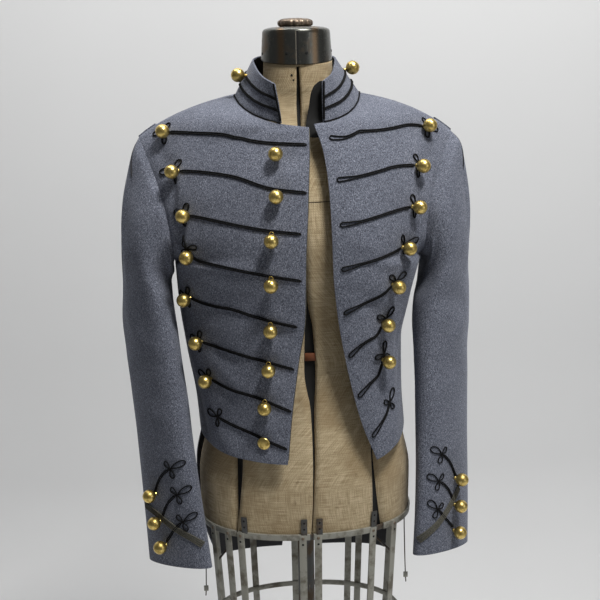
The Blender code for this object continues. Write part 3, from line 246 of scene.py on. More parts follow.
# The finer creases, in the same columns
CREASES = {
    "front_right": (
        (0.88, 7.2, 0.84, 8.9, 11, -5.0),
        (0.86, 4.6, 0.90, 6.9, 9, -4.0),
        (0.79, 3.6, 0.80, 5.6, 8, 3.0),
        (0.86, 10.4, 0.90, 9.1, 9, -3.5),
        (0.73, 8.3, 0.82, 7.2, 8, 2.6),
        (0.70, 6.6, 0.78, 5.8, 8, 2.6),
        (0.80, 6.4, 0.87, 5.5, 9, -3.0),
        (0.71, 4.6, 0.75, 3.4, 8, 2.4),
        (0.06, 10.5, 0.11, 9.6, 9, -3.0),
        (0.24, 8.95, 0.08, 9.0, 9, 2.4),
        (0.14, 7.85, 0.04, 7.7, 8, -4.0),
        (0.18, 7.3, 0.05, 7.2, 8, 2.6),
        (0.24, 8.1, 0.20, 7.3, 8, -2.2),
        (0.47, 2.4, 0.27, 2.9, 9, 3.4),
        (0.62, 2.9, 0.34, 3.4, 11, -3.0),
        (0.66, 2.1, 0.38, 1.6, 10, 3.0),
        (0.60, 2.5, 0.36, 2.0, 8, -3.2),
        (0.60, 1.2, 0.36, 1.3, 9, 2.4),
        (0.56, 1.7, 0.30, 1.1, 9, -2.4),
        (0.18, 3.1, 0.07, 2.9, 8, 2.6),
        (0.22, 2.75, 0.06, 2.6, 7, -2.8),
        (0.16, 2.4, 0.07, 2.2, 8, 2.8),
        (0.22, 2.05, 0.06, 1.9, 7, -2.8),
        (0.17, 1.75, 0.07, 1.5, 8, 2.8),
        (0.22, 1.35, 0.08, 1.2, 7, -2.6),
        (0.18, 1.0, 0.09, 0.75, 8, 2.6),
        (0.34, 3.9, 0.60, 4.3, 15, -2.0),
        (0.10, 0.4, 0.32, 0.5, 9, -2.0),
        (0.05, 3.9, 0.16, 4.2, 10, 1.8),
        (0.72, 0.2, 0.82, 1.5, 11, -2.6),
    ),
    "front_left": (
        (0.86, 8.0, 0.88, 9.2, 9, -4.5),
        (0.84, 5.6, 0.80, 7.2, 8, -3.5),
        (0.74, 5.2, 0.68, 6.9, 7, 2.6),
        (0.66, 4.2, 0.60, 5.7, 9, -4.0),
        (0.52, 3.3, 0.56, 4.6, 8, 3.0),
        (0.60, 1.9, 0.66, 3.1, 9, -4.0),
        (0.16, 4.4, 0.34, 4.0, 12, -2.8),
        (0.12, 5.4, 0.30, 5.1, 12, 2.0),
        (0.14, 3.5, 0.34, 2.8, 10, -3.0),
        (0.30, 3.6, 0.44, 3.0, 9, 2.6),
        (0.20, 2.4, 0.42, 1.9, 10, 2.8),
        (0.16, 1.9, 0.40, 1.4, 9, -2.4),
        (0.88, 10.2, 0.90, 9.0, 8, -3.5),
        (0.72, 8.9, 0.74, 7.8, 8, 2.2),
        (0.56, 1.2, 0.80, 2.2, 9, -3.0),
    ),
    "back_right": (
        (0.90, 5.5, 0.86, 8.6, 12, -3.5),
        (0.35, 1.8, 0.62, 2.5, 14, -2.0),
        (0.20, 9.4, 0.70, 9.0, 18, 1.6),
        (0.50, 0.4, 0.72, 1.3, 12, 2.2),
    ),
    "back_left": (
        (0.90, 5.3, 0.87, 8.3, 12, -3.2),
        (0.30, 2.1, 0.58, 2.7, 13, -2.2),
        (0.24, 9.2, 0.66, 9.5, 17, 1.4),
        (0.46, 0.6, 0.70, 1.5, 13, 2.0),
    ),
}


def fold_push(px, py, run_x, run_y, width, height):
    """How far one fold pushes a point that lies px and py from its start. It runs on by run_x and run_y."""
    along = max(0.0, min(1.0, (px * run_x + py * run_y) / (run_x ** 2 + run_y ** 2)))
    off = hypot(px - along * run_x, py - along * run_y) / width
    return height * exp(-off * off) * (FOLD_END + (1 - FOLD_END) * sin(pi * along))


def fold_height(folds, across, up):
    """How far the soft folds push a panel's point outwards."""
    total = 0.0
    for row in folds:
        fold = dict(zip(FOLD_COLUMNS, row))
        px, py = (across - fold["across"]) * PANEL_WIDTH, (up - fold["up"]) * ROW_HEIGHT
        run_x = (fold["to_across"] - fold["across"]) * PANEL_WIDTH
        run_y = (fold["to_up"] - fold["up"]) * ROW_HEIGHT
        total += fold_push(px, py, run_x, run_y, fold["width"], fold["height"])
    return total

# %% [markdown]
# ## A point of a panel
#
# Every later piece asks for a point of the cloth by two places: how far across the panel it is and
# how far up. The row's curve is kept once it is worked out, because a panel asks for each of its
# rows many times.

# %% Points of the panels
def make_panel(name, rows, side, facing):
    neck = FRONT_CORNER if facing == FRONT else NECK_CORNER
    corners = {"edge_x": neck, "edge_y": neck, "edge_z": neck,
               "seam_x": UNDERARM, "seam_y": UNDERARM, "seam_z": UNDERARM}
    return {"name": name, "rows": rows, "side": side, "facing": facing, "corners": corners,
            "folds": FOLDS[name] + CREASES[name]}


PANELS = {
    "front_right": make_panel("front_right", FRONT_RIGHT, RIGHT, FRONT),
    "front_left": make_panel("front_left", FRONT_LEFT, LEFT, FRONT),
    "back_right": make_panel("back_right", BACK_RIGHT, RIGHT, BACK),
    "back_left": make_panel("back_left", BACK_LEFT, LEFT, BACK),
}


@lru_cache(maxsize=None)
def panel_row(name, up):
    """The four points of the curve that crosses a panel at one height."""
    panel = PANELS[name]
    row = read(panel["rows"], PANEL_COLUMNS, up, panel["corners"])
    edge = Vector((row["edge_x"], row["edge_y"], row["edge_z"]))
    seam = Vector((row["seam_x"], row["seam_y"], row["seam_z"]))
    rise = (seam.z - edge.z) / 3
    angle = radians(row["seam_turn"])
    level = max(0.0, min(1.0, up - NECK_CORNER)) if panel["facing"] == BACK else 1.0
    leave_edge = Vector((row["edge_reach"], 0, level * (rise + row["arch"])))
    leave_seam = Vector((-row["seam_reach"] * cos(angle), panel["facing"] * row["seam_reach"] * sin(angle),
                         row["arch"] - rise))
    return edge, edge + leave_edge, seam + leave_seam, seam


def panel_point(panel, across, up):
    """A point of a panel. across runs from its edge to its seam, up from the hem to the shoulder."""
    point = bezier(*panel_row(panel["name"], up), across)
    away = Vector((point.x, point.y, 0)).normalized()
    inside = min(1.0, EDGE_FADE * across, EDGE_FADE * (1 - across))
    point += away * (fold_height(panel["folds"], across, up) * max(0.0, inside))
    return Vector((panel["side"] * point.x, point.y, point.z))


def from_axis(point):
    return Vector((point.x, point.y, 0))

# %% [markdown]
# ## Finishes: the shared effects
#
# Several materials share an effect, such as fibre, weave or wear. Each effect is a node group,
# built once, and a material gives it its own values. A group only puts out colours, masks and
# heights. The shader stays in the material.

# %% Node groups
def new_group(name, inputs, outputs, kind="ShaderNodeTree"):
    """An empty group with named sockets. Returns the group, its input node and its output node."""
    group = bpy.data.node_groups.new(name, kind)
    for label, kind, value in inputs:
        socket = group.interface.new_socket(label, in_out="INPUT", socket_type="NodeSocket" + kind)
        if value is not None:
            socket.default_value = value
    for label, kind in outputs:
        group.interface.new_socket(label, in_out="OUTPUT", socket_type="NodeSocket" + kind)
    return group, group.nodes.new("NodeGroupInput"), group.nodes.new("NodeGroupOutput")


def fill(tree, node, inputs):
    """Gives a node its inputs: a value, a colour of three numbers, or a socket to link from."""
    for key, value in dict(inputs).items():
        socket = node.inputs[key]
        if isinstance(value, bpy.types.NodeSocket):
            tree.links.new(value, socket)
        else:
            socket.default_value = (*value, 1.0) if socket.type == "RGBA" else value
    return node


def add(tree, kind, inputs=(), **settings):
    """A new node with its settings and its inputs."""
    node = tree.nodes.new(kind)
    for key, value in settings.items():
        setattr(node, key, value)
    return fill(tree, node, inputs)


def maths(tree, operation, first, second=0.0, third=0.0):
    return add(tree, "ShaderNodeMath", {0: first, 1: second, 2: third}, operation=operation).outputs[0]


def noise(tree, vector, scale, detail=2.0, roughness=0.5):
    inputs = {"Vector": vector, "Scale": scale, "Detail": detail, "Roughness": roughness}
    return add(tree, "ShaderNodeTexNoise", inputs).outputs["Fac"]


def span(tree, value, low, high, to_low=0.0, to_high=1.0):
    """Maps a value from one range to another, softly at both ends, and clamps it."""
    inputs = {"Value": value, "From Min": low, "From Max": high, "To Min": to_low, "To Max": to_high}
    return add(tree, "ShaderNodeMapRange", inputs, interpolation_type="SMOOTHSTEP").outputs["Result"]


def mixed(tree, factor, first, second):
    """Two colours mixed. The node's inputs 6 and 7 are its colours, and its output 2 is one."""
    return add(tree, "ShaderNodeMix", {0: factor, 6: first, 7: second}, data_type="RGBA").outputs[2]


def stretched(tree, vector, scale):
    inputs = {"Vector": vector, "Scale": scale}
    return add(tree, "ShaderNodeMapping", inputs).outputs["Vector"]


def make_heather():
    """Wool spun from light and dark fibres: small flecks, longer along the warp, over faint broad shade."""
    group, start, end = new_group(
        "heathered wool",
        (("Vector", "Vector", None), ("Base", "Color", None), ("Light", "Color", None),
         ("Dark", "Color", None), ("Fleck scale", "Float", 820.0)),
        (("Color", "Color"), ("Height", "Float")))
    place = stretched(group, start.outputs["Vector"], (1.0, 1.0, 0.62))
    fleck = noise(group, place, start.outputs["Fleck scale"], 3.0, 0.68)
    finer = maths(group, "MULTIPLY", start.outputs["Fleck scale"], 2.6)
    fibre = noise(group, place, finer, 2.0, 0.6)
    broad = noise(group, start.outputs["Vector"], 16.0, 3.0, 0.55)
    dark = span(group, fleck, 0.53, 0.34)
    light = span(group, fleck, 0.50, 0.72)
    colour = mixed(group, dark, start.outputs["Base"], start.outputs["Dark"])
    colour = mixed(group, light, colour, start.outputs["Light"])
    colour = mixed(group, span(group, fibre, 0.52, 0.78, 0.0, 0.45), colour, start.outputs["Light"])
    shade = span(group, broad, 0.30, 0.72, 0.0, 0.16)
    colour = mixed(group, shade, colour, start.outputs["Dark"])
    height = maths(group, "ADD", maths(group, "MULTIPLY", fleck, 0.6), maths(group, "MULTIPLY", fibre, 0.4))
    group.links.new(colour, end.inputs["Color"])
    group.links.new(height, end.inputs["Height"])
    return group


def make_weave():
    """Threads that pass over and under each other. Vector is in metres on the cloth."""
    group, start, end = new_group(
        "woven threads",
        (("Vector", "Vector", None), ("Threads per metre", "Float", 1000.0), ("Unevenness", "Float", 0.3)),
        (("Height", "Float"), ("Thread", "Float")))
    wobble = noise(group, start.outputs["Vector"], 240.0, 2.0)
    shift = maths(group, "MULTIPLY", maths(group, "SUBTRACT", wobble, 0.5), start.outputs["Unevenness"])
    parts = add(group, "ShaderNodeSeparateXYZ", {0: start.outputs["Vector"]})
    rate = maths(group, "MULTIPLY", start.outputs["Threads per metre"], pi)
    across = maths(group, "ADD", maths(group, "MULTIPLY", parts.outputs[0], rate), shift)
    along = maths(group, "ADD", maths(group, "MULTIPLY", parts.outputs[1], rate), shift)
    warp = maths(group, "ABSOLUTE", maths(group, "SINE", across))
    weft = maths(group, "ABSOLUTE", maths(group, "SINE", along))
    over = maths(group, "MULTIPLY", maths(group, "SINE", across), maths(group, "SINE", along))
    height = maths(group, "ADD", maths(group, "MAXIMUM", warp, weft), maths(group, "MULTIPLY", over, 0.5))
    streak = stretched(group, start.outputs["Vector"], (40.0, 900.0, 1.0))
    streak_other = stretched(group, start.outputs["Vector"], (900.0, 40.0, 1.0))
    thread = maths(group, "ADD", maths(group, "MULTIPLY", noise(group, streak, 1.0, 2.0), 0.5),
                   maths(group, "MULTIPLY", noise(group, streak_other, 1.0, 2.0), 0.5))
    group.links.new(height, end.inputs["Height"])
    group.links.new(thread, end.inputs["Thread"])
    return group


def make_wear():
    """Patches of dirt and a few fine scratches, for metal and paint."""
    group, start, end = new_group(
        "wear",
        (("Vector", "Vector", None), ("Patch scale", "Float", 60.0), ("Amount", "Float", 0.5)),
        (("Dirt", "Float"), ("Scratch", "Float"), ("Height", "Float")))
    patch = noise(group, start.outputs["Vector"], start.outputs["Patch scale"], 5.0, 0.62)
    edge = maths(group, "SUBTRACT", 0.75, maths(group, "MULTIPLY", start.outputs["Amount"], 0.4))
    dirt = span(group, maths(group, "SUBTRACT", patch, edge), -0.08, 0.12)
    thin = stretched(group, start.outputs["Vector"], (900.0, 900.0, 60.0))
    scratch = span(group, noise(group, thin, 1.0, 2.0, 0.5), 0.66, 0.74)
    grain = noise(group, start.outputs["Vector"], 900.0, 2.0)
    group.links.new(dirt, end.inputs["Dirt"])
    group.links.new(scratch, end.inputs["Scratch"])
    group.links.new(grain, end.inputs["Height"])
    return group


HEATHER, WEAVE, WEAR = make_heather(), make_weave(), make_wear()
print("effects:", [group.name for group in (HEATHER, WEAVE, WEAR)])

# %% [markdown]
# ## Finishes: the materials
#
# Wool has no gloss but a soft sheen from the fibres that stand off it, so its shader gets sheen and
# high roughness. The lining is smooth black twill. Brass, gunmetal and paint differ in their wear:
# brass darkens in its hollows, gunmetal browns, and the cage's olive paint is chipped to bare
# steel. The neck cap's gunmetal also carries two painted brown reflections.

# %% Materials
def new_material(name, preview):
    """A material with its Principled shader, its tree and its Object coordinates."""
    made = bpy.data.materials.new(name)
    made.use_nodes = True
    made.diffuse_color = (*preview, 1.0)
    tree = made.node_tree
    place = add(tree, "ShaderNodeTexCoord").outputs["Object"]
    return made, tree, tree.nodes["Principled BSDF"], place


def placed(tree, group, inputs):
    return add(tree, "ShaderNodeGroup", inputs, node_tree=group).outputs


def bump(tree, shader, height, strength, distance):
    node = add(tree, "ShaderNodeBump", {"Height": height, "Strength": strength, "Distance": distance})
    tree.links.new(node.outputs["Normal"], shader.inputs["Normal"])


def make_wool(name, base, light, dark):
    made, tree, shader, place = new_material(name, base)
    wool = placed(tree, HEATHER, {"Vector": place, "Base": base, "Light": light, "Dark": dark})
    fill(tree, shader, {"Base Color": wool["Color"], "Roughness": 0.95, "Specular IOR Level": 0.25,
                        "Sheen Weight": 0.16, "Sheen Roughness": 0.5, "Sheen Tint": (0.72, 0.76, 0.88)})
    bump(tree, shader, wool["Height"], 0.55, 0.0006)
    return made


def make_lining():
    made, tree, shader, _ = new_material("black lining", (0.012, 0.012, 0.015))
    cloth = add(tree, "ShaderNodeUVMap", uv_map="cloth").outputs["UV"]
    weave = placed(tree, WEAVE, {"Vector": cloth, "Threads per metre": 1500.0, "Unevenness": 0.2})
    colour = mixed(tree, weave["Thread"], (0.008, 0.008, 0.010), (0.026, 0.026, 0.032))
    fill(tree, shader, {"Base Color": colour, "Roughness": 0.62})
    bump(tree, shader, weave["Height"], 0.3, 0.0003)
    return made


def make_yarn(name, preview, scale, high, dark, light, finish, strength, distance):
    """A cord or braid: fine fibre in two near shades."""
    made, tree, shader, place = new_material(name, preview)
    fibre = noise(tree, place, scale, 2.0)
    colour = mixed(tree, span(tree, fibre, 0.35, high), dark, light)
    fill(tree, shader, {"Base Color": colour, **finish})
    bump(tree, shader, fibre, strength, distance)
    return made


def make_brass():
    made, tree, shader, place = new_material("gilt brass", (0.70, 0.50, 0.17))
    wear = placed(tree, WEAR, {"Vector": place, "Patch scale": 190.0, "Amount": 0.55})
    colour = mixed(tree, wear["Dirt"], (0.74, 0.56, 0.19), (0.36, 0.25, 0.070))
    colour = mixed(tree, wear["Scratch"], colour, (0.88, 0.74, 0.40))
    rough = maths(tree, "ADD", maths(tree, "MULTIPLY", wear["Dirt"], 0.20), 0.30)
    fill(tree, shader, {"Base Color": colour, "Roughness": rough, "Metallic": 1.0})
    bump(tree, shader, wear["Height"], 0.10, 0.0003)
    return made


# The neck cap's gunmetal carries two painted brown reflections, upright stripes of colour at these x.
CAP_PAINTED_REFLECTIONS = (-0.0255, 0.0205)      # x of the neck cap's two brown reflections
PAINTED_REFLECTION_COLOUR = (0.155, 0.108, 0.068)


def make_metal(name, clean, dirty, roughness, metallic, patch, amount, painted_reflections=()):
    """Steel or paint with browned, dusty patches, and with painted brown reflections as upright stripes at
    some x.
    """
    made, tree, shader, place = new_material(name, clean)
    wear = placed(tree, WEAR, {"Vector": place, "Patch scale": patch, "Amount": amount})
    colour = mixed(tree, wear["Dirt"], clean, dirty)
    colour = mixed(tree, maths(tree, "MULTIPLY", wear["Scratch"], 0.5), colour, (0.42, 0.40, 0.36))
    across = add(tree, "ShaderNodeSeparateXYZ", {0: place}).outputs["X"] if painted_reflections else None
    # Each painted reflection mixes its brown into the colour near its own x.
    for middle in painted_reflections:
        off = maths(tree, "ABSOLUTE", maths(tree, "SUBTRACT", across, middle))
        colour = mixed(tree, span(tree, off, 0.001, 0.007, 1.0, 0.0), colour, PAINTED_REFLECTION_COLOUR)
    rough = maths(tree, "ADD", maths(tree, "MULTIPLY", wear["Dirt"], 0.22), roughness)
    fill(tree, shader, {"Base Color": colour, "Roughness": rough, "Metallic": metallic})
    bump(tree, shader, wear["Height"], 0.15, 0.0003)
    return made


def make_jersey():
    """Old beige jersey: an even knit that looks woven from a step away, with darker patches of age."""
    made, tree, shader, place = new_material("beige jersey", (0.44, 0.34, 0.20))
    cloth = add(tree, "ShaderNodeUVMap", uv_map="cloth").outputs["UV"]
    weave = placed(tree, WEAVE, {"Vector": cloth, "Threads per metre": 620.0, "Unevenness": 0.9})
    stain = noise(tree, place, 13.0, 5.0, 0.6)
    spots = noise(tree, place, 120.0, 3.0, 0.6)
    thread = span(tree, weave["Thread"], 0.36, 0.64)
    colour = mixed(tree, thread, (0.335, 0.255, 0.145), (0.60, 0.49, 0.32))
    colour = mixed(tree, span(tree, stain, 0.42, 0.68, 0.0, 0.55), colour, (0.235, 0.160, 0.075))
    colour = mixed(tree, span(tree, spots, 0.62, 0.76, 0.0, 0.45), colour, (0.16, 0.105, 0.050))
    fill(tree, shader, {"Base Color": colour, "Roughness": 0.9, "Specular IOR Level": 0.2,
                        "Sheen Weight": 0.1})
    bump(tree, shader, weave["Height"], 0.5, 0.0006)
    return made


def make_plain(name, colour, roughness, mottling=0.18, scale=24.0):
    """A dull surface with a faint mottle, for the near-black paint that mostly stands for shade, and for the
    room.
    """
    made, tree, shader, place = new_material(name, colour)
    mottle = noise(tree, place, scale, 4.0)
    darker = tuple((1 - mottling) * value for value in colour)
    surface = mixed(tree, span(tree, mottle, 0.3, 0.7), darker, colour)
    fill(tree, shader, {"Base Color": surface, "Roughness": roughness})
    return made


wool = make_wool("blue grey wool", (0.122, 0.133, 0.170), (0.34, 0.36, 0.43), (0.036, 0.040, 0.054))
lining = make_lining()
cord_black = make_yarn("black cord", (0.012, 0.012, 0.014), 1400.0, 0.75, (0.002, 0.002, 0.002),
                       (0.010, 0.010, 0.011), {"Roughness": 0.8, "Specular IOR Level": 0.2}, 0.4, 0.0003)
braid = make_yarn("olive braid", (0.045, 0.046, 0.035), 900.0, 0.72, (0.050, 0.048, 0.038),
                  (0.150, 0.143, 0.112), {"Roughness": 0.66}, 0.5, 0.0004)
brass = make_brass()
jersey = make_jersey()
gunmetal = make_metal("gunmetal", (0.105, 0.106, 0.096), (0.150, 0.108, 0.070), 0.27, 0.9, 30.0, 0.35,
                      CAP_PAINTED_REFLECTIONS)
knob_brown = make_metal("browned knob", (0.20, 0.155, 0.115), (0.10, 0.07, 0.05), 0.38, 0.8, 60.0, 0.6)
olive_paint = make_metal("olive grey paint", (0.30, 0.295, 0.255), (0.15, 0.135, 0.105), 0.45, 0.3,
                         38.0, 0.5)
bright_steel = make_metal("bare steel", (0.42, 0.38, 0.31), (0.25, 0.19, 0.13), 0.35, 0.8, 60.0, 0.4)
dark_steel = make_metal("dark steel", (0.085, 0.085, 0.083), (0.11, 0.08, 0.055), 0.46, 0.7, 50.0, 0.6)
rust = make_plain("rusty iron", (0.23, 0.075, 0.030), 0.8)
# Near black. In the form's slots, the cap's slot and all holes it is painted shade; on the facing it is
# black cloth darkened into shade; the jersey's seam is a dark line of it.
black_and_painted_shade = make_plain("black and painted shade", (0.006, 0.006, 0.006), 0.95)
print("materials:", len(bpy.data.materials))

# %% [markdown]
# ## Rows of the fine cloth
#
# The solids have a row of points about every 40 mm. The cloth here has one about every 6 mm, so
# that a crease has room to bend. Each gap between two of the solid's rows is cut in equal parts,
# because the armhole and the sleeve count their points in the same way.

# %% Rows and the armhole
PARTS = 6
ACROSS_STEPS = 40
SEAM = 0.3
SHOULDER_SEAM = 0.6
ARMHOLE_TUCK = 0.4      # how far the sleeve's head goes under the armhole's edge, and how far it rises there
ARMHOLE_LIFT = 0.3


def stations(corner):
    """Row positions of a panel, closer together below the underarm and round the neck."""
    halves = [k / 2 for k in range(2 * UNDERARM)]
    wholes = [float(k) for k in range(UNDERARM, corner)]
    coarse = halves + wholes + [corner + k / 2 for k in range(2 * (TOP_ROW - corner) + 1)]
    fine = [low + (high - low) * k / PARTS for low, high in zip(coarse, coarse[1:]) for k in range(PARTS)]
    return fine + [float(TOP_ROW)]


FRONT_STATIONS = stations(FRONT_CORNER)
BACK_STATIONS = stations(NECK_CORNER)


def panel_grid(panel):
    """Points of a panel, pulled back a little at its seams so that two walls never touch."""
    rows = FRONT_STATIONS if panel["facing"] == FRONT else BACK_STATIONS
    grid = []
    for up in rows:
        width = (panel_point(panel, 1.0, up) - panel_point(panel, 0.0, up)).length
        trim_seam = SEAM / width
        trim_edge = trim_seam if panel["facing"] == BACK else 0.0
        reach = 1 - trim_edge - trim_seam
        grid.append([panel_point(panel, trim_edge + reach * k / ACROSS_STEPS, up)
                     for k in range(ACROSS_STEPS + 1)])
    for k, point in enumerate(grid[-1]):
        grid[-1][k] = point + (grid[-2][k] - point).normalized() * SHOULDER_SEAM
    return grid


def armhole(side):
    """The armhole's outline, from the shoulder down the front to the underarm and up the back."""
    front = PANELS["front_right" if side == RIGHT else "front_left"]
    back = PANELS["back_right" if side == RIGHT else "back_left"]
    down = [up for up in reversed(FRONT_STATIONS) if up >= UNDERARM]
    climb = [up for up in BACK_STATIONS if UNDERARM < up < TOP_ROW]
    return [panel_point(front, 1.0, up) for up in down] + [panel_point(back, 1.0, up) for up in climb]


print("rows in a front:", len(FRONT_STATIONS), "points round an armhole:", len(armhole(LEFT)))

# %% [markdown]
# ## Cloth as a wall
#
# Melton is about 2 mm thick. A surface with one row of points for each side would show that at the
# hems, but it would be twice the work to bend. So each piece is one surface, and a Solidify
# modifier gives it the wall: wool outside and black lining inside. A small Bevel rounds the cut
# edge. Each piece also keeps a flat map of itself, in metres on the cloth, for the weave. Its
# corner-to-corner lengths give the size it was cut to.

# %% Turn a grid into cloth
def lengths(points):
    """How far along a line each of its points is."""
    total = [0.0]
    for a, b in zip(points, points[1:]):
        total.append(total[-1] + (b - a).length)
    return total


def grid_mesh(name, grid, away, closed=False):
    """A surface through a grid of points in millimetres, facing away, with its map in metres."""
    mesh = bpy.data.meshes.new(name)
    columns = len(grid[0])
    across = [lengths(row + row[:1] if closed else row) for row in grid]
    middle = [row[columns // 2] for row in grid]
    up = lengths(middle)
    points, faces, places = [point * MM for row in grid for point in row], [], []
    for j in range(len(grid) - 1):
        for k in range(columns if closed else columns - 1):
            after = (k + 1) % columns
            low, high = j * columns, (j + 1) * columns
            faces.append((low + k, low + after, high + after, high + k))
            places += [(across[j][k], up[j]), (across[j][k + 1], up[j]),
                       (across[j + 1][k + 1], up[j + 1]), (across[j + 1][k], up[j + 1])]
    mesh.from_pydata(points, [], faces)
    layer = mesh.uv_layers.new(name="cloth")
    layer.data.foreach_set("uv", [value * MM for place in places for value in place])
    face = mesh.polygons[len(faces) // 2]
    if face.normal.dot(away(face.center / MM)) < 0:
        mesh.flip_normals()
    mesh.shade_smooth()
    return mesh


def new_piece(name, mesh, *materials):
    made = bpy.data.objects.new(name, mesh)
    bpy.context.scene.collection.objects.link(made)
    for one in materials:
        mesh.materials.append(one)
    return made


def belongs(piece, nodes=None):
    """Every piece stands for the solids it shows, if any, and stays on the part's body."""
    if nodes is not None:
        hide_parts(*nodes)
    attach(piece, "root")
    return piece


def thicken(piece, thickness):
    """A wall as thick as this, in millimetres, inwards from the piece's surface."""
    thick = piece.modifiers.new("wall", "SOLIDIFY")
    thick.thickness = thickness * MM
    thick.offset = -1.0
    return thick


def cloth_wall(name, grid, away, outside, inside, thickness=2.0, closed=False):
    """A wall of cloth. The grid is its outer side."""
    made = new_piece(name, grid_mesh(name, grid, away, closed), outside, inside)
    thick = thicken(made, thickness)
    thick.material_offset = 1
    thick.use_quality_normals = True
    rounded = made.modifiers.new("soft edge", "BEVEL")
    rounded.width = 0.28 * thickness * MM
    rounded.segments = 2
    rounded.limit_method = "ANGLE"
    rounded.angle_limit = radians(60)
    rounded.material = 0
    return made


def wear_it(piece, node):
    """The piece stands for its node."""
    belongs(piece, [node])


# %% [markdown]
# ## Fronts and backs
#
# The two fronts carry the cords and buttons. The backs meet at a centre seam. All four hang from
# the form's shoulders, and stand off its chest because such a coat is padded.

# %% Body panels
for panel in PANELS.values():
    grid = panel_grid(panel)
    piece = cloth_wall("cloth_" + panel["name"], grid, from_axis, wool, lining)
    wear_it(piece, panel["name"])

# %% [markdown]
# ## Sleeves
#
# A tailored sleeve is cut in two pieces, so it hangs bent forwards. It leaves the armhole as a
# round tube and is nearly flat at the cuff, with a soft crease in front. Rings are worked out from
# a table: where the middle is, how wide and deep the ring is and which way it faces. The first
# rings keep the armhole's own outline.

# %% Tables of the sleeves
SLEEVE_COLUMNS = ("x", "y", "z", "lean", "nose", "long", "short", "turn", "shape")
SLEEVE_RIGHT = (
    (206, 0, 1246, 73, 0, 84, 52, 90, 0.10),
    (211, 0, 1223, 66, 0, 76, 48, 84, 0.35),
    (217, 0, 1198, 55, 0, 70, 42, 78, 0.65),
    (220, -1, 1167, 38, 0, 67, 38, 76, 0.90),
    (220, -2, 1124, 16, 0, 67, 34, 72, 1.0),
    (219, -5, 1075, 4, 0, 68, 33, 67, 1.0),
    (216, -9, 1030, 0, 0, 67, 33, 65, 1.0),
    (211, -14, 980, 0, 2, 65, 33, 63, 1.0),
    (207, -20, 925, 0, 4, 63, 31, 60, 1.0),
    (203, -28, 870, 0, 6, 62, 29, 56, 1.0),
    (198, -38, 805, 0, 9, 60, 26, 50, 1.0),
    (192, -50, 727, 0, 13, 58, 23, 43, 1.0),
)
SLEEVE_LEFT = (
    (203, 0, 1246, 73, 0, 84, 52, 90, 0.10),
    (206, 0, 1222, 66, 0, 76, 48.5, 82, 0.35),
    (207.5, 0, 1192, 55, 0, 70, 45.5, 74, 0.65),
    (206.5, -1, 1160, 40, 0, 68, 43.5, 68, 0.90),
    (204.5, -2, 1122, 20, 0, 68, 40, 63, 1.0),
    (204, -5, 1075, 6, 0, 67, 38, 60, 1.0),
    (204, -9, 1030, 0, 0, 66, 34, 58, 1.0),
    (205, -14, 980, 0, 2, 65, 32, 56, 1.0),
    (205, -20, 925, 0, 4, 64, 30, 54, 1.0),
    (205, -28, 870, 0, 6, 63, 27, 51, 1.0),
    (204, -38, 805, 0, 9, 61, 25, 47, 1.0),
    (201, -50, 729, 0, 13, 59, 23, 42, 1.0),
)
ARMHOLE_LEAN = 76
CREASE_RISE = 0.10
CREASE_SPREAD = 0.38


def sleeve_frame(side, row):
    """The directions of a sleeve's ring: its outer side, its front and its way out of the armhole."""
    lean, nose = radians(row["lean"]), radians(row["nose"])
    outer = Vector((side * cos(lean), 0, sin(lean)))
    front = Vector((0, -cos(nose), sin(nose)))
    return outer, front, outer.cross(front).normalized() * side


def armhole_shape(side):
    """The armhole's outline measured in its own frame, and an even angle for each of its points."""
    loop = armhole(side)
    under = sum(1 for up in FRONT_STATIONS if up > UNDERARM)
    centre = (loop[0] + loop[under]) / 2
    outer, front, out_of = sleeve_frame(side, {"lean": ARMHOLE_LEAN, "nose": 0})
    shape = []
    for k, point in enumerate(loop):
        offset = point - centre
        even = pi * k / under if k <= under else pi + pi * (k - under) / (len(loop) - under)
        shape.append((offset.dot(outer), offset.dot(front), offset.dot(out_of), even))
    return centre, shape


def ring_radius(row, angle):
    """A flattened ring's radius, with the crease at its front end. angle is 0 outside and 90 in front."""
    off = angle - radians(180 - row["turn"])
    off = (off + pi) % (2 * pi) - pi
    radius = 1 / hypot(cos(off) / row["long"], sin(off) / row["short"])
    return radius * (1 + CREASE_RISE * exp(-(off / CREASE_SPREAD) ** 2))

# %% Folds of the sleeves
# turn in degrees, 0 on the outer side and 90 in front, and row of the table, at both ends of a fold
SLEEVE_FOLDS = {
    RIGHT: (
        (78, 1.5, 58, 3.4, 11, -3.6),
        (48, 1.6, 40, 3.8, 12, 2.6),
        (112, 3.6, 50, 4.6, 12, -3.0),
        (24, 5.6, 96, 6.3, 13, 2.4),
        (100, 6.8, 20, 7.3, 12, -2.2),
        (60, 8.2, 120, 8.7, 13, 1.6),
        (-30, 2.4, 10, 4.6, 14, -2.4),
        (-70, 5.0, -20, 6.2, 13, 2.0),
        (200, 5.4, 250, 6.6, 13, -2.6),
        (230, 3.0, 190, 4.4, 12, -2.0),
    ),
    LEFT: (
        (80, 1.5, 66, 3.2, 11, -3.4),
        (52, 1.4, 30, 3.6, 12, 2.8),
        (118, 3.4, 60, 4.4, 12, -3.2),
        (98, 5.0, 40, 5.8, 12, -2.6),
        (30, 6.0, 90, 6.7, 13, 2.2),
        (110, 7.2, 40, 7.8, 12, -1.8),
        (-24, 2.6, 6, 4.8, 14, -2.2),
        (-80, 5.4, -26, 6.4, 13, 2.0),
        (204, 5.6, 248, 6.9, 13, -2.4),
        (226, 3.2, 188, 4.5, 12, -1.8),
    ),
}


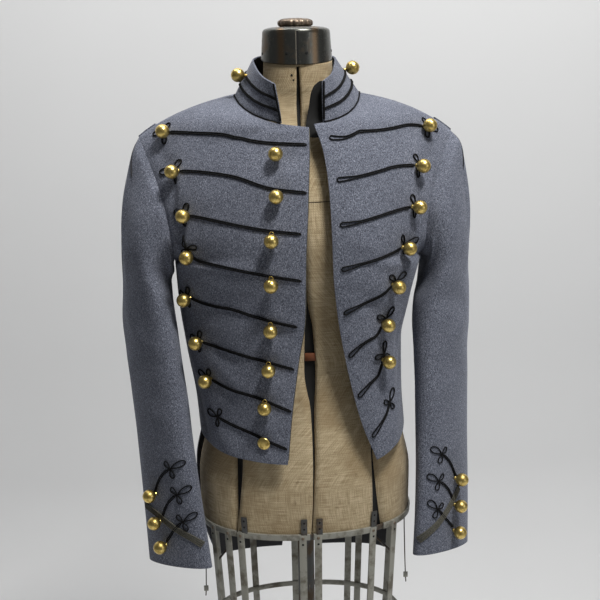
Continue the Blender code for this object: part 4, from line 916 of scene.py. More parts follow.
def sleeve_fold(side, even, along, radius):
    """How far the folds push a sleeve's point outwards."""
    total = 0.0
    for turn_from, row_from, turn_to, row_to, width, height in SLEEVE_FOLDS[side]:
        off = (even - radians(turn_from) + pi) % (2 * pi) - pi
        px, py = off * radius, (along - row_from) * ROW_HEIGHT
        run_x, run_y = radians(turn_to - turn_from) * radius, (row_to - row_from) * ROW_HEIGHT
        total += fold_push(px, py, run_x, run_y, width, height)
    return total


# %% Rings of the sleeves
SLEEVES = {"right": {"side": RIGHT, "rows": SLEEVE_RIGHT}, "left": {"side": LEFT, "rows": SLEEVE_LEFT}}
RING_PARTS = 8
FOLD_RADIUS = 50        # a sleeve's rough radius, for how far apart two folds are


def sleeve_ring(sleeve, along, start):
    """A ring of the sleeve. along counts the table's rows, from the armhole at 0."""
    side = sleeve["side"]
    centre, shape = start
    first = (abs(centre.x), centre.y, centre.z, ARMHOLE_LEAN, 0) + tuple(sleeve["rows"][0][5:8]) + (0.0,)
    row = read((first,) + tuple(sleeve["rows"]), SLEEVE_COLUMNS, along)
    outer, front, out_of = sleeve_frame(side, row)
    middle = Vector((side * row["x"], row["y"], row["z"]))
    ring, keep = [], 1 - row["shape"]
    for p, q, depth, even in shape:
        angle = keep * (atan2(q, p) % (2 * pi)) + row["shape"] * even
        radius = ring_radius(row, angle) + sleeve_fold(side, even, along, FOLD_RADIUS)
        flat_p = keep * p + row["shape"] * radius * cos(angle)
        flat_q = keep * q + row["shape"] * radius * sin(angle)
        ring.append(middle + outer * flat_p + front * flat_q + out_of * (keep * depth))
    tuck = max(0.0, 1 - 2 * along)
    return [point - out_of * (ARMHOLE_TUCK * tuck) + (point - middle).normalized() * (ARMHOLE_LIFT * tuck)
            for point in ring]


for name, sleeve in SLEEVES.items():
    start = armhole_shape(sleeve["side"])
    count = len(sleeve["rows"]) * RING_PARTS
    grid = [sleeve_ring(sleeve, k / RING_PARTS, start) for k in range(count + 1)]
    middle = sum(grid[count // 2], Vector()) / len(grid[0])
    piece = cloth_wall("cloth_sleeve_" + name, grid, lambda point: from_axis(point - middle), wool, lining,
                       closed=True)
    wear_it(piece, "sleeve_" + name)

# %% [markdown]
# ## Collar
#
# The standing collar is a stiff band on the neckline. It stands open in front here, so its lining
# shows. Its lower edge follows the necks of the panels and its upper edge has a table of its own.

# %% Collar
COLLAR_COLUMNS = ("x", "y", "z")
COLLAR_TOP = (
    (-38, -80, 1415),
    (-53, -53, 1425),
    (-60, -22, 1437),
    (-62, 6, 1445),
    (-53, 34, 1450),
    (-31, 53, 1452),
    (0, 60, 1453),
    (28, 53, 1452),
    (46, 34, 1451),
    (53, 6, 1447),
    (49.5, -22, 1439),
    (43, -51, 1428),
    (27, -79, 1417),
)
COLLAR_STARTS = (9.93, 9.66)
COLLAR_SEAM = 0.7
COLLAR_WALL = 2.6
COLLAR_ROWS = 14
COLLAR_PARTS = 6


def neckline():
    """The neckline from the collar's right front end, round the back, to its left front end."""
    points = []
    for side_name, start in (("right", COLLAR_STARTS[0]), ("left", COLLAR_STARTS[1])):
        front, back = PANELS["front_" + side_name], PANELS["back_" + side_name]
        rounds = [start] + [FRONT_CORNER + k / 2 for k in range(2, 2 * (TOP_ROW - FRONT_CORNER) + 1)]
        half = [panel_point(front, 0.0, up) for up in rounds]
        half += [panel_point(back, 0.0, up) for up in (12.5, 12.0, 11.5, 11.0, 10.5, 10.0)]
        points.append(half)
    return points[0] + points[1][-2::-1]


NECKLINE = neckline()


def collar_point(place, level):
    """A point of the collar. place counts the neckline's points from the right front end, level runs up."""
    last = len(NECKLINE) - 1
    index = max(0, min(int(place), last - 1))
    low = NECKLINE[index].lerp(NECKLINE[index + 1], place - index)
    top = Vector(read(COLLAR_TOP, COLLAR_COLUMNS, (len(COLLAR_TOP) - 1) * place / last).values())
    return (low + UP * COLLAR_SEAM).lerp(top, level)


places = [k / COLLAR_PARTS for k in range((len(NECKLINE) - 1) * COLLAR_PARTS + 1)]
grid = [[collar_point(place, level / COLLAR_ROWS) for place in places] for level in range(COLLAR_ROWS + 1)]
piece = cloth_wall("cloth_collar", grid, from_axis, wool, lining, COLLAR_WALL)
wear_it(piece, "collar")

# %% [markdown]
# ## Tails
#
# Two short tails are set on below the waist at the back. From the front only their black lining
# shows, beside the form's cage.

# %% Tails
TAIL_COLUMNS = ("in_x", "in_y", "out_x", "out_y", "z", "in_reach", "out_reach")
TAIL = (
    (0.3, 113, 153, 42, 904.6, 84, 40),
    (6, 117, 163, 58, 850, 84, 38),
    (14, 120, 165, 70, 780, 78, 34),
    (22, 120, 154, 82, 715, 66, 28),
    (30, 118, 138, 92, 660, 54, 22),
)
TAIL_TURN = (0.55, 0.83)    # the way a tail leaves its outer edge: inwards and backwards
TAIL_STEPS, TAIL_ROWS = 30, 46


def tail_point(side, across, down):
    row = read(TAIL, TAIL_COLUMNS, down)
    inner = Vector((row["in_x"], row["in_y"], row["z"]))
    outer = Vector((row["out_x"], row["out_y"], row["z"]))
    leave_out = Vector((-TAIL_TURN[0], TAIL_TURN[1], 0)) * row["out_reach"]
    point = bezier(inner, inner + Vector((row["in_reach"], 0, 0)), outer + leave_out, outer, across)
    return Vector((side * point.x, point.y, point.z))


for name, side in (("tail_right", RIGHT), ("tail_left", LEFT)):
    grid = [[tail_point(side, k / TAIL_STEPS, (len(TAIL) - 1) * j / TAIL_ROWS)
             for k in range(TAIL_STEPS + 1)] for j in range(TAIL_ROWS + 1)]
    piece = cloth_wall("cloth_" + name, grid, from_axis, wool, lining)
    wear_it(piece, name)

# %% [markdown]
# ## Laying trim on cloth
#
# A cord is sewn on flat, so its path is drawn on the cloth and not in the air. A spot is a place on
# a piece of cloth: across and up. This helper finds the spot under a point of the front view, walks
# along the cloth by a number of millimetres, and gives the way straight out of it.

# %% A surface to sew on
class Surface:
    """Cloth that a trim is laid on. at gives a spot's point, and away leads roughly outwards from it."""

    NUDGE = 0.01
    ROUNDS = 6

    def __init__(self, at, away):
        self.at, self.away = at, away

    def tangents(self, spot):
        u, v = spot
        first = self.at(u + self.NUDGE, v) - self.at(u - self.NUDGE, v)
        second = self.at(u, v + self.NUDGE) - self.at(u, v - self.NUDGE)
        return first / (2 * self.NUDGE), second / (2 * self.NUDGE)

    def normal(self, spot):
        first, second = self.tangents(spot)
        out = first.cross(second).normalized()
        return out if out.dot(self.away(self.at(*spot))) > 0 else -out

    def moved(self, spot, offset):
        """The spot that lies an offset away along the cloth."""
        a, b = nearest_sum(*self.tangents(spot), offset)
        return (spot[0] + a, spot[1] + b)

    def find(self, x, z):
        """The spot with this x and z, seen from the front."""
        def miss(spot):
            point = self.at(*spot)
            return hypot(point.x - x, point.z - z)

        spot = min(((k / 8, up) for k in range(1, 9) for up in range(TOP_ROW + 1)), key=miss)
        for _ in range(self.ROUNDS):
            first, second = (Vector((t.x, 0, t.z)) for t in self.tangents(spot))
            point = self.at(*spot)
            a, b = nearest_sum(first, second, Vector((x - point.x, 0, z - point.z)))
            spot = (spot[0] + a, spot[1] + b)
        return spot


def nearest_sum(first, second, target):
    """How much of two vectors adds up nearest to a third one."""
    ff, fs, ss = first.dot(first), first.dot(second), second.dot(second)
    scale = ff * ss - fs * fs
    ft, st = first.dot(target), second.dot(target)
    return (ft * ss - st * fs) / scale, (st * ff - ft * fs) / scale


def route_spot(spots, place):
    """A spot on the smooth curve through the route's own spots."""
    last = len(spots) - 1
    index = max(0, min(int(place), last - 1))
    part = place - index
    before, start, end, after = (Vector(spots[max(0, min(index + k, last))]) for k in (-1, 0, 1, 2))
    leave, arrive = (end - before) / 6, (after - start) / 6
    return tuple(bezier(start, start + leave, end - arrive, end, part))


def front_surface(side_name):
    panel = PANELS["front_" + side_name]
    return Surface(lambda across, up: panel_point(panel, across, up), from_axis)


FRONT_SURFACES = {name: front_surface(name) for name in ("right", "left")}

# %% [markdown]
# ## Twisted cord, made by nodes
#
# A cord is three strands twisted together. The tree takes a path, cuts it in even steps, turns each
# step a little more than the last and sweeps a three-lobed outline along it. The twist then follows
# every loop.

# %% The cord tree
def geometry_tree(name, inputs):
    """An empty geometry tree with one geometry in, one out, and named inputs."""
    inputs = (("Geometry", "Geometry", None),) + inputs
    tree, start, end = new_group(name, inputs, (("Geometry", "Geometry"),), "GeometryNodeTree")
    return tree, start.outputs, end


def close_tree(tree, geometry, end, material):
    """Every tree ends alike: real geometry, smooth, with its material."""
    real = add(tree, "GeometryNodeRealizeInstances", {"Geometry": geometry}).outputs[0]
    soft = add(tree, "GeometryNodeSetShadeSmooth", {"Geometry": real}).outputs[0]
    painted = add(tree, "GeometryNodeSetMaterial", {"Geometry": soft, "Material": material}).outputs[0]
    tree.links.new(painted, end.inputs["Geometry"])


def make_cord_tree():
    tree, start, end = geometry_tree("twisted cord", (
        ("Radius", "Float", 0.001), ("Step", "Float", 0.0012), ("Twists per metre", "Float", 160.0),
        ("Lobe depth", "Float", 0.24), ("Sides", "Int", 12), ("Material", "Material", None)))
    path = add(tree, "GeometryNodeMeshToCurve", {"Mesh": start["Geometry"]}).outputs[0]
    even = add(tree, "GeometryNodeResampleCurve", {"Curve": path, "Length": start["Step"]},
               mode="LENGTH").outputs[0]
    along = add(tree, "GeometryNodeSplineParameter").outputs["Length"]
    tilt = maths(tree, "MULTIPLY", along, maths(tree, "MULTIPLY", start["Twists per metre"], 2 * pi))
    turned = add(tree, "GeometryNodeSetCurveTilt", {"Curve": even, "Tilt": tilt}).outputs[0]
    circle = add(tree, "GeometryNodeCurvePrimitiveCircle",
                 {"Resolution": start["Sides"], "Radius": start["Radius"]}).outputs[0]
    round_place = add(tree, "GeometryNodeSplineParameter").outputs["Factor"]
    lobe = maths(tree, "ABSOLUTE", maths(tree, "SINE", maths(tree, "MULTIPLY", round_place, 3 * pi)))
    scale = maths(tree, "SUBTRACT", 1.0, maths(tree, "MULTIPLY", start["Lobe depth"],
                                              maths(tree, "SUBTRACT", 1.0, lobe)))
    place = add(tree, "GeometryNodeInputPosition").outputs[0]
    shaped = add(tree, "ShaderNodeVectorMath", {0: place, "Scale": scale}, operation="SCALE").outputs[0]
    profile = add(tree, "GeometryNodeSetPosition", {"Geometry": circle, "Position": shaped}).outputs[0]
    swept = add(tree, "GeometryNodeCurveToMesh",
                {"Curve": turned, "Profile Curve": profile, "Fill Caps": True}).outputs[0]
    close_tree(tree, swept, end, start["Material"])
    return tree


CORD_TREE = make_cord_tree()


def run_tree(name, tree, mesh, **values):
    """Runs a tree on a mesh and gives back a plain piece. A value's name has _ for a space."""
    made = new_piece(name, mesh)
    nodes = made.modifiers.new("nodes", "NODES")
    nodes.node_group = tree
    sockets = {item.name: item.identifier for item in tree.interface.items_tree if item.in_out == "INPUT"}
    for key, value in values.items():
        nodes[sockets[key.replace("_", " ")]] = value
    graph = bpy.context.evaluated_depsgraph_get()
    result = bpy.data.meshes.new_from_object(made.evaluated_get(graph), depsgraph=graph)
    made.modifiers.clear()
    made.data = result
    bpy.data.meshes.remove(mesh)
    return made


def path_mesh(paths):
    """Lines as a mesh, in metres. Each path is its points and whether it closes."""
    points, edges = [], []
    for path, closed in paths:
        first = len(points)
        points += [point * MM for point in path]
        edges += [(first + k, first + k + 1) for k in range(len(path) - 1)]
        if closed:
            edges.append((len(points) - 1, first))
    mesh = bpy.data.meshes.new("path")
    mesh.from_pydata(points, edges, [])
    return mesh


def cord_piece(name, paths, radius, paint, slot, nodes=(), **values):
    made = run_tree(name, CORD_TREE, path_mesh(paths), Radius=radius * MM, Material=paint, **values)
    return belongs(made, nodes)


# %% [markdown]
# ## Cords across the chest
#
# Each row is one thin cord laid double. It ends in a trefoil under the outer button: a large loop
# ahead and a small one on each side. On the left front the two strands part at the inner end, as a
# loop that takes the button. On the right front they turn back at the edge. The path is drawn as
# one closed line on the cloth.

# %% Paths of doubled cords
CORDS_RIGHT = (
    ((-180, 1352), (-115, 1351), (-84, 1346), (-50, 1340), (2, 1337)),
    ((-167, 1303), (-120, 1301), (-89, 1296), (-48, 1283), (-1, 1277)),
    ((-156, 1246), (-122, 1241), (-88, 1235), (-55, 1230), (-10, 1225)),
    ((-156, 1195), (-143, 1184), (-98, 1178), (-55, 1171), (-11, 1163)),
    ((-158, 1129), (-126, 1123), (-100, 1121), (-74, 1114), (-17, 1099)),
    ((-145, 1067), (-111, 1062), (-75, 1054), (-22, 1039)),
    ((-134, 1014), (-119, 1009), (-76, 1000), (-27, 980)),
    ((-127, 961), (-105, 954), (-78, 946), (-34, 926)),
)
CORDS_LEFT = (
    ((171, 1352), (141, 1355), (95, 1351), (57, 1345), (32, 1345)),
    ((153, 1303), (123, 1304), (99, 1300), (70, 1295), (39, 1292)),
    ((144, 1250), (112, 1246), (70, 1238), (41, 1235)),
    ((129, 1197), (100, 1188), (65, 1181), (42, 1176)),
    ((114, 1148), (91, 1133), (57, 1120), (46, 1114)),
    ((102, 1094), (92, 1079), (76, 1072), (53, 1053)),
    ((102, 1042), (95, 1020), (82, 1011), (66, 995)),
    ((113, 976), (107, 962), (98, 950), (86, 934)),
)
CORD_RADIUS = 1.1
STRAND = 1.2
STEM = 7.0
TREFOIL_REACH = 7.5     # how far past its button's foot an outer trefoil's middle lies
KEYHOLE_LENGTH = 27.0
KEYHOLE_HALF = 3.0
# length and half width of a trefoil's side loops and of the loop ahead
TREFOIL = ((15.0, 3.6), (17.5, 4.4))
BARE_TREFOIL = ((13.0, 3.3), (19.5, 4.6))
CUFF_TREFOILS = {"right": ((12.5, 4.0), (24.5, 4.2)), "left": ((12.0, 3.8), (20.5, 4.4))}


def lay(surface, spot, lift=CORD_RADIUS):
    return surface.at(*spot) + surface.normal(spot) * lift


def route_line(surface, spots, step=2.5):
    """The route as even steps: a list of spots and how far along each is."""
    fine = [route_spot(spots, (len(spots) - 1) * k / 160) for k in range(161)]
    points = [surface.at(*spot) for spot in fine]
    far = lengths(points)
    steps = max(2, int(far[-1] / step))
    chosen, k = [], 0
    for j in range(steps + 1):
        goal = far[-1] * j / steps
        while k < 159 and far[k + 1] < goal:
            k += 1
        part = (goal - far[k]) / max(far[k + 1] - far[k], 1e-6)
        spot = tuple(a + (b - a) * part for a, b in zip(fine[k], fine[k + 1]))
        chosen.append((spot, goal))
    return chosen, far[-1]


def petal(length, half, steps=18):
    """A teardrop loop from its waist round to its waist: how far ahead and how far to the side."""
    turns = [2 * pi * k / steps for k in range(steps + 1)]
    return [(length * sin(t / 2) ** 2, half * 1.3 * sin(t) * sin(t / 2)) for t in turns]


def trefoil_path(surface, foot, towards, sizes, lift=CORD_RADIUS):
    """Points of the three loops round a foot. towards is the spot that the doubled cord comes from."""
    out = surface.normal(foot)
    stem = surface.at(*towards) - surface.at(*foot)
    ahead = -(stem - out * stem.dot(out)).normalized()
    side = out.cross(ahead)
    points = []
    beside, longest = sizes
    for turn_by, (length, half) in ((-108, beside), (0, longest), (108, beside)):
        axis = ahead * cos(radians(turn_by)) + side * sin(radians(turn_by))
        across = out.cross(axis)
        for far, wide in petal(length, half):
            spot = surface.moved(foot, axis * (far + 1.2) + across * wide)
            points.append(lay(surface, spot, lift + 0.25 * (1 if wide > 0 else 0)))
    return points


def doubled_path(surface, spots, sizes, keyhole=False, reach=0.0, stem=STEM):
    """A closed path: out along one strand, round the trefoil and back along the other."""
    line, total = route_line(surface, spots)
    near = [(spot, far) for spot, far in line if far >= stem]
    right_side, left_side = [], []
    for k, (spot, far) in enumerate(near):
        ahead = surface.at(*near[min(k + 1, len(near) - 1)][0]) - surface.at(*near[max(k - 1, 0)][0])
        side = surface.normal(spot).cross(ahead).normalized()
        left = total - far
        apart = STRAND
        if keyhole and left < KEYHOLE_LENGTH:
            part = 1 - left / KEYHOLE_LENGTH
            apart = STRAND + (KEYHOLE_HALF - STRAND) * part ** 0.8
            apart *= min(1.0, max(0.0, left / 2.5)) ** 0.5
        elif left < STRAND:
            apart = STRAND * max(0.0, 1 - (1 - left / STRAND) ** 2) ** 0.5
        right_side.append(lay(surface, surface.moved(spot, side * apart)))
        left_side.append(lay(surface, surface.moved(spot, -side * apart)))
    foot = surface.moved(spots[0], (surface.at(*spots[0]) - surface.at(*near[0][0])).normalized() * reach)
    loops = trefoil_path(surface, foot, near[0][0], sizes)
    return list(reversed(left_side)) + loops + right_side


# %% Cords of both fronts
for side_name, routes in (("right", CORDS_RIGHT), ("left", CORDS_LEFT)):
    surface = FRONT_SURFACES[side_name]
    for k, route in enumerate(routes):
        bare = k == len(routes) - 1
        spots = [surface.find(x, z) for x, z in route]
        sizes, reach = (BARE_TREFOIL, 0.0) if bare else (TREFOIL, TREFOIL_REACH)
        path = doubled_path(surface, spots, sizes, side_name == "left", reach)
        name = f"row_{side_name}_{k + 1}"
        piece = cord_piece("cord_" + name, [(path, True)], CORD_RADIUS, cord_black, "black_cord", [name])
print("one row of cord has", len(piece.data.polygons), "faces")

# %% [markdown]
# ## Cords of the collar
#
# Two doubled cords run round the collar and a single one covers the seam below it. The collar's
# front ends are bound in worn black braid.

# %% Collar cords
collar_surface = Surface(collar_point, from_axis)
LAST_PLACE = len(NECKLINE) - 1.0


def collar_line(level, first, last, lift=CORD_RADIUS):
    steps = int((last - first) * 6)
    return [lay(collar_surface, (first + (last - first) * k / steps, level), lift) for k in range(steps + 1)]


STRIPES = (0.32, 0.61)
HALF_GAP = 0.019
paths = []
for level in STRIPES:
    upper = collar_line(level + HALF_GAP, 0.15, LAST_PLACE - 0.15)
    lower = collar_line(level - HALF_GAP, 0.15, LAST_PLACE - 0.15)
    paths.append((upper + lower[::-1], True))
paths.append((collar_line(0.005, 0.1, LAST_PLACE - 0.1, 0.9), False))
cord_piece("collar_cords", paths, CORD_RADIUS, cord_black, "black_cord", Step=0.0014)


def collar_end(place, lift):
    return [lay(collar_surface, (place, level / 16), lift) for level in range(1, 17)]


ends = [(collar_end(0.08, 0.0), False), (collar_end(LAST_PLACE - 0.08, 0.0), False)]
cord_piece("collar_binding", ends, 1.7, cord_black, "black_cord", Lobe_depth=0.12,
           Twists_per_metre=260.0)

# %% [markdown]
# ## Facing and front edge
#
# The black facing of the left front stands up inside the collar's left end, because the hooks there
# pull it inwards. The right front's edge is finished with a thin olive piping, so it stands out
# from the dark inside.

# %% Facing and front edge
# height, then x and y of its free edge and of its edge inside the collar
FACING = (
    (1345.0, 6.0, -79.0, 26.0, -84.0),
    (1354.0, 3.0, -75.0, 27.0, -81.0),
    (1361.3, 3.6, -72.0, 29.5, -77.0),
    (1367.8, 5.0, -68.5, 29.5, -73.0),
    (1381.7, 8.2, -65.0, 29.5, -70.5),
    (1400.3, 11.5, -64.0, 29.5, -69.5),
    (1411.7, 16.4, -64.0, 29.0, -69.5),
    (1417.4, 23.5, -65.5, 28.0, -69.5),
)
FACING_COLUMNS = ("z", "x", "y", "to_x", "to_y")
FACING_PARTS = 6
FACING_STEPS = 8
FACING_WAVE = 1.2
FACING_WALL = 1.2
PIPING_OFFSET = Vector((0.6, 0.9, 0))
PIPING_RADIUS = 0.75
grid = []
for k in range((len(FACING) - 1) * FACING_PARTS + 1):
    row = read(FACING, FACING_COLUMNS, k / FACING_PARTS)
    free, inner = Vector((row["x"], row["y"], row["z"])), Vector((row["to_x"], row["to_y"], row["z"]))
    grid.append([free.lerp(inner, j / FACING_STEPS) - Vector((0, FACING_WAVE * sin(pi * j / 4), 0))
                 for j in range(FACING_STEPS + 1)])
# The facing is black cloth, given the near-black paint, darker than the lining, so that it also stands for
# the shade in that corner.
facing = cloth_wall("facing_left", grid, from_axis, black_and_painted_shade, black_and_painted_shade, FACING_WALL)
belongs(facing)
edge_line = [panel_point(PANELS["front_right"], 0.0, 0.1 + k / 12) + PIPING_OFFSET for k in range(107)]
cord_piece("front_piping", [(edge_line, False)], PIPING_RADIUS, braid, "black_cord", Twists_per_metre=260.0)

# %% [markdown]
# ## Cuffs
#
# The cuff has a pointed band of four thin braids with three short cords above and below it. Each
# cord ends in a trefoil and points at a ball button. Spots on a sleeve are its turn, in hundreds of
# degrees, and the row of its table.

# %% Trim of the cuffs
CUFFS = {
    "right": {
        "balls": ((0.46, 10.55), (0.47, 11.14), (0.564, 11.59)),
        "lines": (
            ((0.987, 9.82), (0.73, 10.14), (0.47, 10.46), (0.24, 10.60), (0.02, 10.76), (-0.16, 10.92)),
            ((1.046, 10.46), (0.83, 10.74), (0.66, 10.97), (0.56, 11.07)),
            ((1.094, 11.07), (0.92, 11.28), (0.76, 11.43), (0.61, 11.53)),
        ),
        "chevron": (
            (-0.223, 10.92), (0.13, 10.97), (0.489, 11.05), (0.77, 11.15), (0.952, 11.24), (1.152, 11.37),
            (1.29, 11.53),
        ),
    },
    "left": {
        "balls": ((0.646, 10.50), (0.647, 11.09), (0.617, 11.62)),
        "lines": (
            ((1.043, 9.78), (0.85, 10.10), (0.66, 10.41), (0.54, 10.50), (0.46, 10.62), (0.43, 10.78)),
            ((1.096, 10.45), (0.92, 10.69), (0.79, 10.88), (0.71, 11.00)),
            ((1.116, 11.09), (0.99, 11.30), (0.83, 11.45), (0.665, 11.55)),
        ),
        "chevron": (
            (0.40, 10.76), (0.60, 10.90), (0.809, 11.07), (1.008, 11.27), (1.193, 11.50), (1.341, 11.69),
        ),
    },
}
BRAIDS = (-4.05, -1.35, 1.35, 4.05)
BRAID_RADIUS = 1.3
CUFF_CORD_RADIUS = 0.95


def sleeve_surface(sleeve):
    side, table = sleeve["side"], ((0.0,) * len(SLEEVE_COLUMNS),) + tuple(sleeve["rows"])
    last = sleeve["rows"][-1]
    middle = Vector((side * last[0], last[1], 0))

    @lru_cache(maxsize=None)
    def at(turn_hundreds, along):
        row = read(table, SLEEVE_COLUMNS, along)
        outer, front, _ = sleeve_frame(side, row)
        angle = radians(100 * turn_hundreds)
        radius = ring_radius(row, angle)
        return (Vector((side * row["x"], row["y"], row["z"]))
                + outer * (radius * cos(angle)) + front * (radius * sin(angle)))

    return Surface(at, lambda point: from_axis(point) - middle)


def side_step(surface, line, k, offset):
    """The spot a step to the side of a line's own spot."""
    spot = line[k][0]
    ahead = surface.at(*line[min(k + 1, len(line) - 1)][0]) - surface.at(*line[max(k - 1, 0)][0])
    side = surface.normal(spot).cross(ahead).normalized()
    return surface.moved(spot, side * offset)


CUFF_SURFACES = {name: sleeve_surface(sleeve) for name, sleeve in SLEEVES.items()}
for name, surface in CUFF_SURFACES.items():
    line, total = route_line(surface, CUFFS[name]["chevron"])
    braids = [([lay(surface, side_step(surface, line, k, offset), 0.9) for k in range(len(line))], False)
              for offset in BRAIDS]
    cord_piece("chevron_" + name, braids, BRAID_RADIUS, braid, "black_cord", Twists_per_metre=210.0)
    paths = [(doubled_path(surface, spots, CUFF_TREFOILS[name]), True) for spots in CUFFS[name]["lines"]]
    cord_piece("cuff_cords_" + name, paths, CUFF_CORD_RADIUS, cord_black, "black_cord",
               ["cuff_trim_" + name])
    print(f"cuff {name}: band {total:.0f} mm long")

# %% [markdown]
# ## Ball buttons, made by nodes
#
# All 29 round buttons are the same gilt ball, 19 mm across, on a short shank. One tree puts a head
# on each point of a mesh and turns it the way the point's own "out" leads. It also makes rivets,
# with a flatter head.

# %% The tree of heads
def make_head_tree():
    tree, start, end = geometry_tree("heads on points", (
        ("Radius", "Float", 0.0096), ("Height", "Float", 1.0), ("Segments", "Int", 32),
        ("Shank radius", "Float", 0.002), ("Shank length", "Float", 0.0034), ("Material", "Material", None)))
    ball = add(tree, "GeometryNodeMeshUVSphere",
               {"Segments": start["Segments"], "Rings": maths(tree, "MULTIPLY", start["Segments"], 0.5),
                "Radius": start["Radius"]}).outputs[0]
    flat = add(tree, "ShaderNodeCombineXYZ", {"X": 1.0, "Y": 1.0, "Z": start["Height"]}).outputs[0]
    head = add(tree, "GeometryNodeTransform", {"Geometry": ball, "Scale": flat}).outputs[0]
    shank = add(tree, "GeometryNodeMeshCone",
                {"Vertices": 16, "Side Segments": 3, "Fill Segments": 1, "Radius Top": start["Shank radius"],
                 "Radius Bottom": maths(tree, "MULTIPLY", start["Shank radius"], 1.5),
                 "Depth": start["Shank length"]}).outputs[0]
    below = maths(tree, "MULTIPLY", start["Radius"], start["Height"])
    shank_rest = maths(tree, "SUBTRACT", start["Shank length"], 0.0004)
    drop = maths(tree, "MULTIPLY", maths(tree, "ADD", below, shank_rest), -1.0)
    down = add(tree, "ShaderNodeCombineXYZ", {"Z": drop}).outputs[0]
    foot = add(tree, "GeometryNodeTransform", {"Geometry": shank, "Translation": down}).outputs[0]
    joined = tree.nodes.new("GeometryNodeJoinGeometry")
    for part in (foot, head):
        tree.links.new(part, joined.inputs[0])
    out = add(tree, "GeometryNodeInputNamedAttribute", {"Name": "out"}, data_type="FLOAT_VECTOR").outputs[0]
    turned = add(tree, "FunctionNodeAlignRotationToVector", {"Vector": out}, axis="Z").outputs[0]
    spread = add(tree, "GeometryNodeInstanceOnPoints",
                 {"Points": start["Geometry"], "Instance": joined.outputs[0], "Rotation": turned}).outputs[0]
    close_tree(tree, spread, end, start["Material"])
    return tree


HEAD_TREE = make_head_tree()


def points_mesh(places):
    """Points with the way out of each. places holds pairs of a point in millimetres and a direction."""
    mesh = bpy.data.meshes.new("points")
    mesh.from_pydata([point * MM for point, _ in places], [], [])
    out = mesh.attributes.new("out", "FLOAT_VECTOR", "POINT")
    out.data.foreach_set("vector", [value for _, way in places for value in way])
    return mesh


def heads(name, places, radius, paint, nodes=None, height=1.0, segments=32, shank=(2.0, 3.4)):
    """Heads at some places, in millimetres. shank is the radius and length of what they stand on."""
    made = run_tree(name, HEAD_TREE, points_mesh(places), Radius=radius * MM, Height=height,
                    Segments=segments, Shank_radius=shank[0] * MM, Shank_length=shank[1] * MM,
                    Material=paint)
    return belongs(made, nodes)


# %% Where the buttons sit
CENTRE_BUTTONS = (
    (-37, 1327), (-39, 1274), (-47, 1218), (-49, 1161), (-50, 1100), (-55, 1040), (-61, 987), (-64, 935),
)
COLLAR_BUTTONS = {"right": (6.0, 0.61), "left": (19.0, 0.61)}
BALL_RADIUS = 9.6
SHANK_RISE = 2.6
MOST_TIP = 0.35
TRIM_GAP = 0.6


def seat(surface, spot, gap=TRIM_GAP):
    """A button's foot and the way it points. Its own weight tips it where the cloth faces upwards."""
    out = surface.normal(spot)
    tipped = (out - UP * max(0.0, min(out.z, MOST_TIP))).normalized()
    return surface.at(*spot) + out * gap, tipped


def ball_piece(name, surface, spots, nodes, gap=TRIM_GAP, rise=SHANK_RISE):
    seats = [seat(surface, spot, gap) for spot in spots]
    centres = [(foot + way * (rise + BALL_RADIUS), way) for foot, way in seats]
    heads(name, centres, BALL_RADIUS, brass, nodes)
    return centres


for side_name, routes in (("right", CORDS_RIGHT), ("left", CORDS_LEFT)):
    surface = FRONT_SURFACES[side_name]
    spots = [surface.find(*route[0]) for route in routes[:-1]]
    ball_piece("balls_outer_" + side_name, surface, spots,
               [f"button_outer_{side_name}_{k + 1}" for k in range(len(spots))])
surface = FRONT_SURFACES["right"]
spots = [surface.find(x, z) for x, z in CENTRE_BUTTONS]
centre_balls = ball_piece("balls_centre", surface, spots[:-1], [f"button_centre_{k + 1}" for k in range(7)])
ball_piece("balls_collar", collar_surface, list(COLLAR_BUTTONS.values()),
           ["button_collar_" + side_name for side_name in COLLAR_BUTTONS], gap=2.2, rise=0.6)
for name, surface in CUFF_SURFACES.items():
    ball_piece("balls_cuff_" + name, surface, CUFFS[name]["balls"],
               [f"button_cuff_{name}_{k + 1}" for k in range(3)])

# %% [markdown]
# ## Wire rings and the flat button
#
# The centre balls hang on wire rings that show above them. The lowest button is a flat domed one.
# It is a turned profile, so a short list of radii and heights makes it.

# %% Rings and the flat button
def write_back(shape, mesh, sharp):
    """Puts edited faces into a mesh, smooth but for edges that turn more than sharp degrees."""
    bmesh.ops.recalc_face_normals(shape, faces=shape.faces)
    shape.to_mesh(mesh)
    shape.free()
    mesh.shade_smooth()
    mesh.set_sharp_from_angle(angle=radians(sharp))


def turned_piece(name, outline, steps, *materials, foot=Vector(), way=UP):
    """A profile of radius and height, in millimetres from the top down, turned round its axis."""
    lift = way.to_track_quat("Z", "Y").to_matrix()
    points, faces = [], []
    for radius, height in outline:
        for k in range(steps):
            turn_by = 2 * pi * k / steps
            spoke = Vector((radius * cos(turn_by), radius * sin(turn_by), height))
            points.append((foot + lift @ spoke) * MM)
    for j in range(len(outline) - 1):
        for k in range(steps):
            after = (k + 1) % steps
            faces.append((j * steps + k, (j + 1) * steps + k, (j + 1) * steps + after, j * steps + after))
    mesh = bpy.data.meshes.new(name)
    mesh.from_pydata(points, [], faces)
    shape = bmesh.new()
    shape.from_mesh(mesh)
    bmesh.ops.remove_doubles(shape, verts=shape.verts, dist=1e-6)
    write_back(shape, mesh, 38)
    return new_piece(name, mesh, *materials)


foot, way = seat(FRONT_SURFACES["right"], spots[-1])
FLAT_OUTLINE = ((0, 6.4), (3, 6.3), (6, 5.8), (8, 5.0), (8.8, 4.2), (9.0, 3.4), (8.7, 2.8), (7.8, 2.6),
                (2.4, 2.6), (2.0, 2.2), (2.0, 0.0), (0, 0))
flat_button = turned_piece("flat_button", FLAT_OUTLINE, 40, brass, foot=foot, way=way)
belongs(flat_button, ["button_centre_8"])

